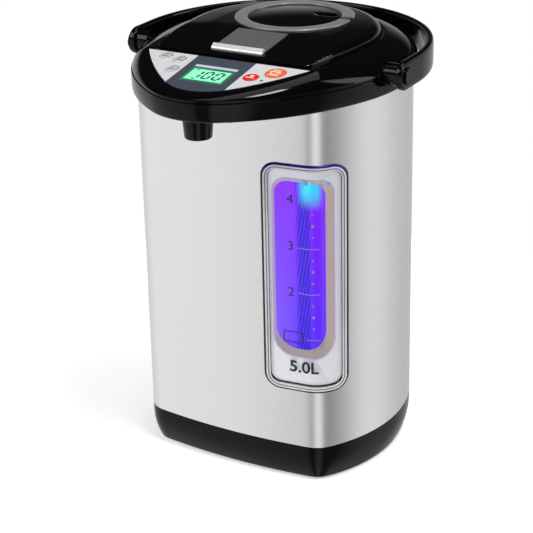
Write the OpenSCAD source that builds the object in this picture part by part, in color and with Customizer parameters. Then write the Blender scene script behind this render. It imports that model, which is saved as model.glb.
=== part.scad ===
// Electric thermo pot: a round-backed steel body with a beaked head, a hinged lid,
// a lift-up carry handle, a lit corner gauge, push keys and a small motor pump.
// Millimetres, +Z up, front (the beak) towards -Y. The origin is on the body's axis
// at table level.

/* [Body] */
// Diameter of the round rear part of the body
shell_d = 208; // [200:1:220]
// Radius of the fuller sides, in front of the round part
side_r = 120; // [112:1:140]
// Where the sides leave the round part, in degrees behind the widest line
side_a = 20; // [10:1:30]
// Distance from the axis to the flat front face
front_y = 90; // [86:1:96]
// Radius of the bow of the front face
face_r = 500; // [300:10:900]
// Radius of the upright front corners
corner_r = 22; // [14:1:30]
// Height of the bottom edge of the base above the table
base_z = 2; // [1.5:0.5:4]
// Height of the seam between base and steel sleeve
base_top = 31; // [28:1:34]
// How far the base draws in at its bottom edge
base_draw = 5; // [2:0.5:6]
// Height of the top edge of the steel sleeve
shell_top = 312; // [300:1:324]
// Sheet thickness of the sleeve
shell_t = 0.8; // [0.6:0.1:1.2]

/* [Head] */
// How far the head overhangs the sleeve
overhang = 3; // [2.5:0.25:5]
// Least distance that the head stands out past the body at the flanks
side_lap = 1.2; // [0.8:0.1:2]
// Distance from the axis to the tip of the beak
beak_tip = 146; // [140:1:154]
// Radius of the tip of the beak
beak_r = 54; // [48:1:60]
// Radius of the flanks between beak and round part
flank_r = 170; // [160:5:220]
// Height of the lower collar
collar_h = 14; // [12:0.5:18]
// How far the collar reaches down over the sleeve
collar_lap = 6; // [4:0.5:9]
// Wall thickness of the plastic mouldings
wall = 2.2; // [1.8:0.1:3]
// Rise of the head from the collar seam to the lid's edge
head_rise = 14; // [12:0.5:18]
// Slope of the control deck in degrees
deck_a = 9; // [6:0.5:11]

/* [Lid] */
// Radius of the round part of the lid
lid_r = 77; // [73:1:80]
// Distance of the lid's centre behind the axis
lid_y = 6; // [3:1:8]
// Distance from the axis to the straight front edge of the lid
lid_front = 75.5; // [74:0.5:80]
// Radius of the lid's front corners
lid_corner_r = 7; // [4:1:12]
// Height of the lid's top above the deck
dome_h = 8; // [6:0.5:12]
// How far the lid's lower edge draws in, so that it clears the well as it swings
lid_draft = 1.6; // [1.2:0.1:2.4]
// Gap round the lid
lid_gap = 0.6; // [0.4:0.1:1]
// Distance of the lid's hinge pin behind the axis
hinge_y = 90; // [88:0.5:92]
// Radius of the lid's hinge pin
hinge_pin_r = 2; // [1.5:0.25:3]
// Distance behind the axis of the round trim on the lid
trim_y = 26; // [22:1:27]
// Outer radius of the round trim
trim_r = 47; // [42:0.5:48]
// Width of the round trim
trim_w = 10; // [6:0.5:12]

/* [Panel] */
// Distance from the axis to the front tip of the control panel
panel_tip = 133; // [126:1:134]
// Thickness of the panel plate
panel_t = 1.2; // [0.8:0.1:2]
// Width of the display window
lcd_w = 36; // [30:1:38]
// Depth of the display window
lcd_d = 22; // [16:1:23]
// Diameter of the dispense key
big_key_d = 15.5; // [12:0.5:17]
// Diameter of the unlock key
red_key_d = 11.5; // [9:0.5:13]
// Diameter of the three function keys
small_key_d = 10.5; // [8:0.5:12]
// How far a key travels
key_travel = 1; // [0.6:0.1:1.4]
// How far the keys stand proud of the panel
key_proud = 0.9; // [0.5:0.1:1.5]

/* [Handle] */
// Gap between the head and the handle
handle_gap = 6; // [5.5:0.5:10]
// Thickness of the handle
handle_t = 6; // [5:0.5:8]
// Height of the handle strap
handle_h = 22; // [18:1:24]
// Distance of the handle's pivots in front of the axis
pivot_y = 22; // [14:1:28]
// Height of the pivots above the collar's seam
pivot_up = 1; // [0:0.5:3]
// Radius of the bosses that hold the handle off the head
boss_r = 8.5; // [7:0.5:9]
// Radius of the pivot pins
pivot_pin_r = 4; // [3:0.5:5]
// Running clearance round a pin
run = 0.05; // [0.02:0.01:0.08]

/* [Gauge] */
// Height of the lower edge of the corner window
win_z = 79; // [74:1:84]
// Height of the corner window
win_h = 185; // [165:1:190]
// Width of the corner window, measured straight across the corner
win_w = 65; // [56:1:68]
// Radius of the window's corners
win_r = 12; // [8:1:16]
// Direction that the window faces, in degrees from +X
win_a = -61; // [-64:1:-56]
// How far the window's middle lies from the corner towards the front
win_shift = 8; // [4:1:12]
// Width of the window's frame
win_frame = 5; // [4:0.5:7]
// Outer radius of the level tube
tube_r = 5; // [4.5:0.25:5.25]
// Wall of the level tube
tube_t = 1.2; // [0.8:0.1:1.6]

/* [Water] */
// Clearance between the inner vessel and the body's outline
vessel_gap = 7; // [6.5:0.5:9]
// Least clearance between the vessel and the trough behind the level tube
trough_gap = 2; // [1.5:0.5:5]
// Wall thickness of the inner vessel
vessel_t = 0.8; // [0.6:0.1:1.2]
// Height of the vessel's floor
vessel_z = 70; // [66:1:76]
// Radius of the vessel's mouth
mouth_r = 70; // [66:1:71]
// Distance from the axis to the nozzle
nozzle_y = 122; // [116:1:126]
// Radius of the nozzle's foot
nozzle_r = 12; // [10:0.5:13]
// How far the nozzle reaches below the collar
nozzle_h = 19; // [14:1:24]
// Bore of the nozzle
nozzle_bore = 5; // [4:0.25:6]
// Outer radius of the water pipes
pipe_r = 4.5; // [4:0.25:5]
// Bore radius of the water pipes
pipe_bore = 3; // [2.5:0.25:3.5]

/* [Hidden] */
$fn = 96;
eps = 0.01;

// Steps along each arc of an outline
arc_n = 12;
fit = 0.3;

rear_r = shell_d / 2;
head_r = rear_r + overhang;
handle_r = head_r + handle_gap;
head_z = shell_top - collar_lap;
seam_z = head_z + collar_h;
deck_z = seam_z + head_rise;
lid_z = deck_z - 4;
top_z = deck_z + dome_h;
vessel_y = (rear_r - front_y) / 2;
vessel_rim = shell_top - 8;
pivot_z = seam_z + pivot_up;
hinge_z = deck_z - 8;

// ---- plan outlines -------------------------------------------------------------

function polar(c, r, a) = [c[0] + r * cos(a), c[1] + r * sin(a)];
function arc(c, r, a0, a1, n = arc_n) = [for (i = [0 : n - 1]) polar(c, r, a0 + (a1 - a0) * i / n)];
function heading(a, b) = atan2(b[1] - a[1], b[0] - a[0]);
// The point d1 from c1 and d2 from c2; side picks one of the two
function meet(c1, d1, c2, d2, side) =
  let (v = c2 - c1, d = norm(v), a = (d1 * d1 - d2 * d2 + d * d) / (2 * d), e = v / d)
  c1 + a * e + side * sqrt(d1 * d1 - a * a) * [-e[1], e[0]];
// A right half, from the front centre to the rear centre, made whole
function both(right, rear) =
  concat(right, [rear], [for (i = [len(right) - 1 : -1 : 1]) [-right[i][0], right[i][1]]]);

// Round rear (centre [0, cy], radius r), fuller sides (sr, from angle sa), a bowed front
// face fy in front of the axis and round front corners; g grows the whole outline
function d_outline(cy, r, sr, sa, fy, fr, cr, g = 0) =
  let (
    c = [0, cy],
    fc = [0, fr - fy],
    sc = c - (sr - r) * [cos(sa), sin(sa)],
    kc = meet(fc, fr - cr, sc, sr - cr, 1),
    a1 = heading(fc, kc),
    a2 = heading(sc, kc)
  ) both(
    concat(
      arc(fc, fr + g, -90, a1, 6), arc(kc, cr + g, a1, a2), arc(sc, sr + g, a2, sa),
      arc(c, r + g, sa, 90, 2 * arc_n)
    ),
    [0, cy + r + g]
  );
// Round rear (radius r at the axis), a round nose (radius nr, tip at -tip) and full flanks
function nose_outline(r, nr, tip, fr, g = 0) =
  let (
    nc = [0, nr - tip],
    sc = meet([0, 0], fr - r, nc, fr - nr, -1),
    a1 = heading(sc, nc),
    a2 = heading(sc, [0, 0])
  ) both(
    concat(arc(nc, nr + g, -90, a1), arc(sc, fr + g, a1, a2), arc([0, 0], r + g, a2, 90, 3 * arc_n)),
    [0, r + g]
  );

function body_plan(g = 0) = d_outline(0, rear_r, side_r, side_a, front_y, face_r, corner_r, g);
function head_plan(g = 0) = nose_outline(head_r, beak_r, beak_tip, flank_r, g);
function lid_plan(g = 0) = d_outline(lid_y, lid_r, 300, -2, lid_front, 2000, lid_corner_r, g);
function panel_plan(g = 0) = nose_outline(98, 42, panel_tip, 220, g);

// The lid's lower edge, drawn in and kept flush with the upper one at the front
function lid_low(g = 0) = [for (p = lid_plan(-lid_gap - lid_draft - g)) [p[0], p[1] - lid_draft]];

module slab(p, z0, z1) translate([0, 0, z0]) linear_extrude(z1 - z0) polygon(p);
module head_slab(g, z0, z1) translate([0, 0, z0]) linear_extrude(z1 - z0) {
  polygon(head_plan(g));
  polygon(body_plan(side_lap + g));
}
module tube(r, bore, z0, z1) translate([0, 0, z0]) difference() {
  cylinder(r = r, h = z1 - z0);
  translate([0, 0, -1]) cylinder(r = bore, h = z1 - z0 + 2);
}
module rod(p, q, r) {
  v = q - p;
  translate(p) rotate([0, acos(v[2] / norm(v)), atan2(v[1], v[0])]) cylinder(r = r, h = norm(v));
}
module box(x0, x1, y0, y1, z0, z1) translate([x0, y0, z0]) cube([x1 - x0, y1 - y0, z1 - z0]);
// Puts a flat drawing, at z = 0, on the sloping control deck
module on_deck() translate([0, -lid_front, deck_z]) rotate([deck_a, 0, 0])
    translate([0, lid_front, 0]) children();

// ---- places that several parts share ---------------------------------------------

// Centre of the right front corner's round, and the window's middle beside it
corner_c = let (fc = [0, face_r - front_y], sc = -(side_r - rear_r) * [cos(side_a), sin(side_a)])
  meet(fc, face_r - corner_r, sc, side_r - corner_r, 1);
win_c = corner_c - win_shift * [-sin(win_a), cos(win_a)];
win_top = win_z + win_h;
plate_in = 2 * tube_r + 2.6;
// The vessel fills the body, but stays clear of the trough in the corner
vessel_r = min((rear_r + front_y) / 2 - vessel_gap,
  norm(corner_c - [0, vessel_y]) + corner_r - plate_in - 1.2 - trough_gap);
tube_c = corner_c + (corner_r - tube_r - 2.2) * [cos(-57), sin(-57)];
tube_z0 = 58;
tube_z1 = win_top + 16;

pump_c = [-20, -20];
pump_z = 36;
// Rear and front edges of the power board, and its posts
pcb_y1 = rear_r - 29;
pcb_y0 = pcb_y1 - 51;
pcb_posts = [for (x = [-38, 38], y = [pcb_y0 + 8, pcb_y1 - 4]) [x, y]];
board_y = -lid_front - 5;
lcd_c = [0, -107.5];
// Key places on the deck: name order timer, boil, temperature, unlock, dispense
KEYS = [
  [[-48.5, -85.5], small_key_d], [[-35, -88.5], small_key_d], [[-31.5, -104.5], small_key_d],
  [[32.5, -101], red_key_d], [[46.5, -89.5], big_key_d],
];
panel_rear = -lid_front - 3;
deck_t = 3.4;
// Depth of the control board's face: the key's flange, its travel, a gap and the switch
board_drop = deck_t + 1.6 + key_travel + 0.4 + 1.8;

latch_y = 62.5;
latch_z = deck_z + 2.8;
latch_a = 7.5;
latch_w = 43;
latch_len = 39;
latch_pin_r = 1.2;
latch_pin_y = latch_len - 2.5;
latch_pin_z = -2.4;
latch_travel = 3;

vent_c = [0, trim_y] + 25 * [cos(30), sin(30)];
steam_r = 7.5;
plug_r = mouth_r - 2;
ledge_z = vessel_rim + 2.5;
neck_top = shell_top + 2.5;
neck_r = vessel_r + 4.5;
heater_r = vessel_r - 20;
screw_r = 1.5;
base_posts = [for (sx = [-1, 1], p = [corner_c + (corner_r - 11) * [cos(-57), sin(-57)],
  (rear_r - 11) * [cos(60), sin(60)]]) [sx * p[0], p[1]]];
side_screws = [for (sx = [-1, 1]) [sx * (rear_r - 15), -38]];
beak_screws = [for (sx = [-1, 1]) [sx * 30, 19 - beak_tip]];
inlet_w = 40;
inlet_z0 = base_z + 3.5;
inlet_z1 = base_top - 1.5;

module at(p, z = 0) translate([p[0], p[1], z]) children();
function round_rect(w, h, r) = concat(
  arc([w / 2 - r, h / 2 - r], r, 0, 90, 8), [[w / 2 - r, h / 2]],
  arc([r - w / 2, h / 2 - r], r, 90, 180, 8), [[-w / 2, h / 2 - r]],
  arc([r - w / 2, r - h / 2], r, 180, 270, 8), [[r - w / 2, -h / 2]],
  arc([w / 2 - r, r - h / 2], r, 270, 360, 8), [[w / 2, r - h / 2]]
);
// The block that cuts the corner window out, drawn in by g on every side
module window_block(g, w = win_w) at(win_c, win_z + win_h / 2) rotate([0, 0, win_a]) rotate([90, 0, 90])
    translate([0, 0, -30]) linear_extrude(80) polygon(round_rect(w - 2 * g, win_h - 2 * g, win_r - g));
// A layer of the body's wall, from g1 outside to g0 inside the outline
module layer(g1, g0, z0, z1) difference() {
  slab(body_plan(g1), z0, z1);
  slab(body_plan(g0), z0 - 1, z1 + 1);
}
// A bent pipe through the points p, with a slightly fuller elbow at each bend
module pipe(p, r, elbow = 0.6) {
  for (i = [1 : len(p) - 1]) rod(p[i - 1], p[i], r);
  for (i = [1 : len(p) - 2]) translate(p[i]) sphere(r = r + elbow);
}
// A bent pipe's bore, run out past both ends
module bore_of(p, r) {
  n = len(p) - 1;
  pipe(concat([p[0] + (p[0] - p[1]) / norm(p[0] - p[1])], [for (i = [1 : n - 1]) p[i]],
    [p[n] + (p[n] - p[n - 1]) / norm(p[n] - p[n - 1])]), r, 0.4);
}
module screw(z, length) {
  translate([0, 0, z]) cylinder(r = 2 * screw_r, h = 1.6);
  translate([0, 0, z]) cylinder(r = screw_r, h = length);
}

// ---- body ------------------------------------------------------------------------

module outer_shell() color("silver") difference() {
  layer(0, -shell_t, base_top, shell_top);
  window_block(1.6);
}

module base_housing() color("#16171a") difference() {
  union() {
    hull() {
      slab(body_plan(0), base_top - 6, base_top);
      slab(body_plan(-0.24 * base_draw), base_z + 9, base_z + 10);
      slab(body_plan(-base_draw), base_z, base_z + 0.6);
    }
    slab(body_plan(-shell_t - 0.2), base_top - 1, base_top + 6);
  }
  difference() {
    union() {
      slab(body_plan(-base_draw - 2.5), base_z - 1, base_top + 7);
      slab(body_plan(-4), base_z + 10, base_top + 7);
    }
    for (p = base_posts) at(p, base_z + 2.8) cylinder(r = 4.5, h = base_top - base_z - 6);
  }
  for (p = base_posts) at(p, base_z + 2) cylinder(r = screw_r + 0.1, h = 14);
  box(-inlet_w / 2, inlet_w / 2, rear_r - 12, rear_r + 2, inlet_z0, inlet_z1);
}

module bottom_cover() color("#1c1d20") difference() {
  union() {
    slab(body_plan(-base_draw - 2.8), base_z + 0.2, base_z + 2.7);
    // Pump cradle and board posts
    at(pump_c, base_z + 2.7) tube(20, 17.6, 0, 8);
    for (p = pcb_posts) at(p, base_z + 2.6) cylinder(r = 3, h = 9.6);
  }
  for (p = base_posts) at(p, base_z - 1) {
    cylinder(r = screw_r + 0.1, h = 8);
    cylinder(r = 2 * screw_r + 0.2, h = 2.9);
  }
  // Air slots
  for (i = [-4 : 4]) box(8 * i - 1.5, 8 * i + 1.5, 10, 32, base_z - 1, base_z + 4);
}

foot_places = [[-62, -52], [62, -52], [-62, 58], [62, 58]];
module feet() color("#26272a") for (p = foot_places) at(p) cylinder(r = 9, h = base_z + 0.2);

module bottom_screws() color("silver") for (p = base_posts) at(p) screw(base_z + 0.3, 13);

module power_inlet() color("#101113") difference() {
  union() {
    box(-inlet_w / 2 + 0.1, inlet_w / 2 - 0.1, rear_r - 10, rear_r - 1, inlet_z0 + 0.1, inlet_z1 - 0.1);
    box(-16, 16, rear_r - 24, rear_r - 9, inlet_z0 + 1, inlet_z1 - 1);
  }
  box(-13, 13, rear_r - 17, rear_r + 2, inlet_z0 + 3.5, inlet_z1 - 3.5);
  for (x = [-6, 6]) translate([x, rear_r - 26, (inlet_z0 + inlet_z1) / 2]) rotate([-90, 0, 0])
      cylinder(r = 2, h = 12);
}
module inlet_pins() color("goldenrod") for (x = [-6, 6])
    translate([x, rear_r - 24.5, (inlet_z0 + inlet_z1) / 2]) rotate([-90, 0, 0]) cylinder(r = 2, h = 18.5);

// ---- corner gauge ------------------------------------------------------------------

module window_frame() color("#c9ccd2") union() {
  difference() {
    intersection() {
      layer(1.4, 0, win_z - 2, win_top + 2);
      window_block(0);
    }
    window_block(win_frame);
  }
  difference() {
    intersection() {
      layer(0, -2, win_z - 2, win_top + 2);
      window_block(1.9);
    }
    window_block(win_frame);
  }
}

module window_pane() color("#dfe6ff", 0.5) intersection() {
  layer(0.8, -1.4, win_z - 2, win_top + 2);
  window_block(win_frame + 0.1);
}

// The lit trough behind the level tube
module gauge_plate() color("#5a3df0") intersection() {
  layer(-plate_in, -plate_in - 1.2, win_z - 2, win_top + 2);
  window_block(win_frame + 1, win_w - 17);
}

module level_tube() color("#cfe0ff", 0.6) at(tube_c) tube(tube_r, tube_r - tube_t, tube_z0, tube_z1);

module tube_seals() color("#d8d8d8") at(tube_c) for (z = [tube_z0, tube_z1 - 8])
    tube(tube_r + 1.2, tube_r, z, z + 8);

// Two small boards at the top of the trough, one on either side of the tube, each with a lamp
board_z = win_top - win_frame - 8;
module led_boards() color("#1d6b3a") difference() {
  intersection() {
    layer(-2.2, 0.4 - plate_in, board_z, board_z + 1.6);
    window_block(win_frame + 1, win_w - 15);
  }
  at(tube_c, board_z - 1) cylinder(r = tube_r + 0.4, h = 4);
}
module leds() color("white") for (a = [-57 - 80, -57 + 80])
    at(tube_c + (tube_r + 4) * [cos(a), sin(a)], board_z - 3.5) cylinder(r = 2, h = 3.5);

// ---- head --------------------------------------------------------------------------

module pivot_hole(r) for (sx = [-1, 1]) translate([sx * (head_r - 8), -pivot_y, pivot_z]) rotate([0, sx * 90, 0])
      cylinder(r = r, h = 20);

module collar() color("#0b0b0d") difference() {
  head_slab(0, head_z, seam_z);
  head_slab(-wall, head_z + 2.5, seam_z + 1);
  slab(body_plan(0.4), head_z - 1, seam_z);
  at([0, -nozzle_y], head_z - 1) cylinder(r = nozzle_r + 0.2, h = 5);
  for (p = beak_screws) at(p, head_z - 1) cylinder(r = screw_r + 0.1, h = 5);
  pivot_hole(boss_r + 0.2);
}

module head_hull(g, drop) hull() {
  head_slab(g, seam_z, seam_z + 3);
  slab(lid_plan(3 + g / 2), deck_z - drop - eps, deck_z - drop);
  translate([0, 0, -drop]) on_deck() linear_extrude(eps) intersection() {
    polygon(panel_plan(4));
    translate([-100, -200]) square([200, 200 - lid_front]);
  }
}

module top_cover() color("#0b0b0d") difference() {
  union() {
    difference() {
      head_hull(-1, 0);
      translate([0, 0, -eps]) head_hull(-1 - wall, deck_t);
    }
    // The wall of the well that the lid sits in
    slab(lid_plan(wall), neck_top, deck_z - 1);
    for (p = side_screws) at(p, neck_top) cylinder(r = 4, h = seam_z + 1 - neck_top);
    for (p = beak_screws) at(p, head_z + 2.5) cylinder(r = 4, h = seam_z - head_z - 1);
    intersection() {
      head_hull(-1.4, 0.4);
      for (p = concat(side_screws, beak_screws)) at(p, seam_z) cylinder(r = 4, h = 20);
    }
    hinge_bosses(0);
  }
  slab(lid_plan(0), neck_top - 1, deck_z + 1);
  hinge_notch();
  on_deck() {
    translate([0, 0, -panel_t]) linear_extrude(5) panel_shape(0.15);
    for (k = KEYS) at(k[0], -10) cylinder(d = k[1] + 0.6, h = 12);
    at(lcd_c, -6) translate([-lcd_w / 2, -lcd_d / 2, 0]) cube([lcd_w, lcd_d, 7]);
  }
  for (p = side_screws) at(p, neck_top - 1) cylinder(r = screw_r + 0.1, h = 9);
  for (p = beak_screws) at(p, head_z) cylinder(r = screw_r + 0.1, h = 13);
  pivot_hole(boss_r + 0.2);
  // Keeper slot for the lid's hook
  box(-8.5, 8.5, -lid_front - 6, -lid_front + 1, lid_z - 5, lid_z + 0.6);
  translate([0, hinge_y, hinge_z]) rotate([0, 90, 0]) cylinder(r = hinge_pin_r, h = 80, center = true);
}

// Hinge: the cover's eyes stand between and beside the lid's two knuckles
knuckles = [[-30, -12], [12, 30]];
module hinge_bosses(g) for (e = [[-37, -30.4], [-11.6, 11.6], [30.4, 37]])
    box(e[0], e[1], lid_y + lid_r, hinge_y + 4.5, hinge_z - 5, hinge_z + 4);
module hinge_notch() {
  for (k = knuckles)
    box(k[0] - 0.4, k[1] + 0.4, lid_y + lid_r - 6, hinge_y + 7.8, hinge_z - 6, deck_z + 4);
  // Room for the lid's rear edge as it swings
  box(knuckles[0][0] - 0.4, knuckles[1][1] + 0.4, lid_y + lid_r - 6, lid_y + lid_r + 4, hinge_z + 4.2, deck_z + 4);
}

module neck_ring() color("#e8e8e6") difference() {
  union() {
    slab(body_plan(0.2), shell_top, neck_top);
    at([0, vessel_y], ledge_z) cylinder(r = neck_r, h = shell_top - ledge_z + 0.5);
  }
  at([0, vessel_y], ledge_z + 2.5) cylinder(r = mouth_r + 4.5, h = 20);
  at([0, vessel_y], ledge_z - 1) cylinder(r = mouth_r, h = 20);
  at(tube_c, shell_top - 10) cylinder(r = 12, h = 20);
  for (p = side_screws) at(p, shell_top - 1) cylinder(r = screw_r + 0.1, h = 6);
  pivot_hole(boss_r + 0.4);
}

module head_screws() color("silver") {
  for (p = side_screws) at(p) screw(shell_top - 1.6, 10);
  for (p = beak_screws) at(p) screw(head_z - 1.6, 12);
}

module nozzle() color("#101012") at([0, -nozzle_y]) difference() {
  union() {
    translate([0, 0, head_z - nozzle_h]) cylinder(r1 = nozzle_r - 1.8, r2 = nozzle_r, h = nozzle_h + 2.4);
    translate([0, 0, head_z + 2.5]) cylinder(r = nozzle_r + 2, h = 1.5);
    translate([0, 0, head_z + 2.4]) cylinder(r = nozzle_r, h = 1);
  }
  translate([0, 0, head_z - nozzle_h - 1]) cylinder(r = nozzle_bore, h = nozzle_h);
  translate([0, 0, head_z - 2]) cylinder(r = pipe_r, h = 10);
}

outlet_path = [
  [tube_c[0], tube_c[1], tube_z1], [tube_c[0], tube_c[1], head_z + 14], [63, -98, head_z + 10],
  [0, -nozzle_y, head_z + 9], [0, -nozzle_y, head_z - 2],
];
module outlet_pipe() color("#d9d9d9") difference() {
  pipe(outlet_path, pipe_r);
  bore_of(outlet_path, pipe_bore);
}

// ---- control deck --------------------------------------------------------------------

module panel_shape(g) intersection() {
  polygon(panel_plan(g));
  translate([-100, -200]) square([200, 200 + panel_rear + g]);
}

module control_panel() color("#d6d8dc") on_deck() difference() {
  translate([0, 0, -panel_t]) linear_extrude(panel_t) panel_shape(0);
  for (k = KEYS) at(k[0], -3) cylinder(d = k[1] + 0.6, h = 6);
  at(lcd_c, -3) translate([-lcd_w / 2, -lcd_d / 2, 0]) cube([lcd_w, lcd_d, 6]);
}

module display_lens() color("#7dffb0") on_deck() at(lcd_c, -panel_t - 0.6)
      translate([-lcd_w / 2 + 0.1, -lcd_d / 2 + 0.1, 0]) cube([lcd_w - 0.2, lcd_d - 0.2, panel_t + 0.4]);

module display_module() color("#223322") on_deck() at(lcd_c, -deck_t - 3.2)
      translate([-lcd_w / 2 - 2, -lcd_d / 2 - 2, 0]) cube([lcd_w + 4, lcd_d + 4, 3]);

module control_board() color("#1d6b3a") on_deck() {
  // Cut back on the side where the outlet pipe passes
  translate([0, 0, -board_drop - 1.6]) linear_extrude(1.6) difference() {
    intersection() {
      polygon(panel_plan(-8));
      translate([-100, lcd_c[1] - 2]) square([200, board_y - lcd_c[1] + 2]);
    }
    translate([-5, lcd_c[1] - 10]) square([100, 12.7]);
    translate([40, lcd_c[1] - 10]) square([100, 18.5]);
  }
  // A push switch under each key
  for (k = KEYS) at(k[0], -board_drop) translate([-3, -3, 0]) cube([6, 6, 1.8]);
}

module key(i) on_deck() at(KEYS[i][0]) {
  translate([0, 0, -deck_t - 0.4]) cylinder(d = KEYS[i][1], h = deck_t + 0.4 + key_proud);
  translate([0, 0, -deck_t - 1.6]) cylinder(d = KEYS[i][1] + 2, h = 1.2);
}
module key_timer() color("#d6d8dc") key(0);
module key_boil() color("#d6d8dc") key(1);
module key_temperature() color("#d6d8dc") key(2);
module key_unlock() color("#e0231c") key(3);
module key_dispense() color("#f2651d") key(4);

// ---- water ---------------------------------------------------------------------------

module vessel() color("#c8c8c8") at([0, vessel_y]) difference() {
  union() {
    translate([0, 0, vessel_z]) cylinder(r = vessel_r, h = vessel_rim - vessel_z);
    translate([0, 0, vessel_rim - 1.2]) cylinder(r = vessel_r + 4, h = 1.2);
  }
  translate([0, 0, vessel_z + 1.2]) cylinder(r = vessel_r - vessel_t, h = vessel_rim);
  at(pump_c - [0, vessel_y], vessel_z - 1) cylinder(r = 6, h = 4);
}

module vessel_gasket() color("#f0f0f0") at([0, vessel_y]) tube(vessel_r + 2, mouth_r + 6, vessel_rim, ledge_z);

module heater() color("#9a9a9a") at([0, vessel_y]) difference() {
  translate([0, 0, vessel_z - 4]) cylinder(r = heater_r, h = 4);
  at(pump_c - [0, vessel_y], vessel_z - 5) cylinder(r = 9, h = 6);
}

module thermostats() color("#b98d3c") for (p = [[24, -18], [30, 12], [-8, 40]])
    at(p, vessel_z - 9) cylinder(r = 7, h = 5);

module suction_hose() color("#e4e4e4") at(pump_c) tube(6, 4.5, pump_z + 16, vessel_z + 1.2);

// The pump's spout points at the foot of the level tube
spout_len = 32;
function along_spout(d) =
  let (p = pump_c + d * (tube_c - pump_c) / norm(tube_c - pump_c)) [p[0], p[1], pump_z + 7];
module pump_housing() color("#2a2b2e") difference() {
  union() {
    at(pump_c, pump_z) cylinder(r = 20, h = 16);
    rod(along_spout(10), along_spout(spout_len), pipe_r);
  }
  at(pump_c, pump_z + 2) cylinder(r = 16.5, h = 12);
  at(pump_c, pump_z + 13) cylinder(r = 4.5, h = 4);
  at(pump_c, pump_z - 1) cylinder(r = 2 + run, h = 4);
  rod(along_spout(10), along_spout(spout_len + 1), pipe_bore);
}

module impeller() color("#f4f4f4") at(pump_c) difference() {
  union() {
    translate([0, 0, pump_z + 3]) cylinder(r = 14, h = 2);
    translate([0, 0, pump_z + 3]) cylinder(r = 4, h = 9);
    for (a = [0 : 60 : 300]) rotate([0, 0, a]) translate([3, -0.9, pump_z + 4]) cube([10.5, 1.8, 7]);
    translate([0, 0, pump_z - 18]) cylinder(r = 2, h = 25);
  }
  translate([0, 0, pump_z + 8]) cylinder(r = 1.5, h = 6);
}

module pump_motor() color("#8f9296") at(pump_c) difference() {
  translate([0, 0, base_z + 6]) cylinder(r = 17.4, h = pump_z - base_z - 6);
  translate([0, 0, pump_z - 20]) cylinder(r = 2 + run, h = 21);
}

riser_path = [along_spout(spout_len), [tube_c[0], tube_c[1], pump_z + 7], [tube_c[0], tube_c[1], tube_z0]];
module riser_hose() color("#e4e4e4") difference() {
  pipe(riser_path, pipe_r);
  bore_of(riser_path, pipe_bore);
}

module power_board() color("#1d6b3a") {
  difference() {
    box(-46, 46, pcb_y0, pcb_y1, base_z + 12.2, base_z + 13.8);
    for (p = pcb_posts) at(p, base_z + 10) cylinder(r = 1, h = 6);
  }
  box(-34, -8, pcb_y0 + 12, pcb_y0 + 36, base_z + 13.8, base_z + 34);
  box(4, 20, pcb_y0 + 18, pcb_y0 + 36, base_z + 13.8, base_z + 28);
  for (x = [28, 38], y = [pcb_y0 + 22, pcb_y0 + 34]) at([x, y], base_z + 13.8) cylinder(r = 4, h = 14);
}

// ---- lid -----------------------------------------------------------------------------

module on_latch() translate([0, -latch_y, latch_z]) rotate([latch_a, 0, 0]) children();

// Lid's height field: an upright edge, a long slope up from the front, fuller shoulders at
// the sides and rear, and a flat top round the trim; g draws it in, drop and top_drop lower it
shoulder_y = -27;
module dome(g, drop, top_drop) hull() {
  slab(lid_low(g), lid_z - (g > 0 ? 1 : 0), lid_z + 0.2);
  slab(lid_plan(-lid_gap - g), deck_z - 0.5 - drop, deck_z + 1 - drop);
  translate([0, 0, deck_z + 7 - drop]) linear_extrude(eps) intersection() {
    polygon(lid_plan(-lid_gap - 8 - g));
    translate([-100, shoulder_y + g]) square([200, 200]);
  }
  at([0, trim_y], top_z - 0.5 - top_drop) cylinder(r = trim_r + 2 - g, h = 0.5);
}

module vent_slot(g, z0, z1) at(vent_c) rotate([0, 0, 15]) {
  for (d = [-4.4, 4.4]) translate([d, 0, z0]) cylinder(r = 4.2 + g, h = z1 - z0);
  translate([-4.4, -4.2 - g, z0]) cube([8.8, 8.4 + 2 * g, z1 - z0]);
}

module lid_shell() color("#0b0b0d") difference() {
  union() {
    difference() {
      dome(0, 0, 0);
      dome(wall, 2.6, 5.4);
    }
    // The tub that the latch lever sits in
    intersection() {
      dome(0, 0, 0);
      slab(lid_plan(0), lid_z + 1.9, top_z);
      on_latch() box(-latch_w / 2 - 3, latch_w / 2 + 3, -7, latch_len + 3.4, -7.8, 10);
    }
    for (k = knuckles) {
      box(k[0], k[1], lid_y + lid_r - lid_gap - wall - 1.7, hinge_y, hinge_z - 1, lid_z + 3);
      translate([k[0], hinge_y, hinge_z]) rotate([0, 90, 0]) cylinder(r = 5, h = k[1] - k[0]);
    }
  }
  on_latch() {
    box(-latch_w / 2 - 0.5, latch_w / 2 + 0.5, -3.6, latch_len + 1.8, -3.2, 12);
    box(-latch_w / 2 - 0.5, latch_w / 2 + 0.5, 20, latch_len + 1.8, -5.6, 0);
    box(-3.6, 3.6, -3.6, 8, -12, 0);
    translate([0, latch_pin_y, latch_pin_z]) rotate([0, 90, 0]) cylinder(r = latch_pin_r, h = latch_w + 5, center = true);
  }
  hook_slot();
  at([0, trim_y], top_z - 1.2) cylinder(r = trim_r + 0.1, h = 5);
  at([0, trim_y], top_z - 3) cylinder(r = trim_r - trim_w - 0.1, h = 5);
  at(vent_c, top_z - 12) cylinder(r = steam_r, h = 20);
  translate([0, hinge_y, hinge_z]) rotate([0, 90, 0]) cylinder(r = hinge_pin_r + run, h = 80, center = true);
}

module hook_slot()
  box(-6, 6, 1.8 - lid_front, 7.6 + latch_travel - lid_front, lid_z - 2, lid_z + 3.2);

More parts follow.
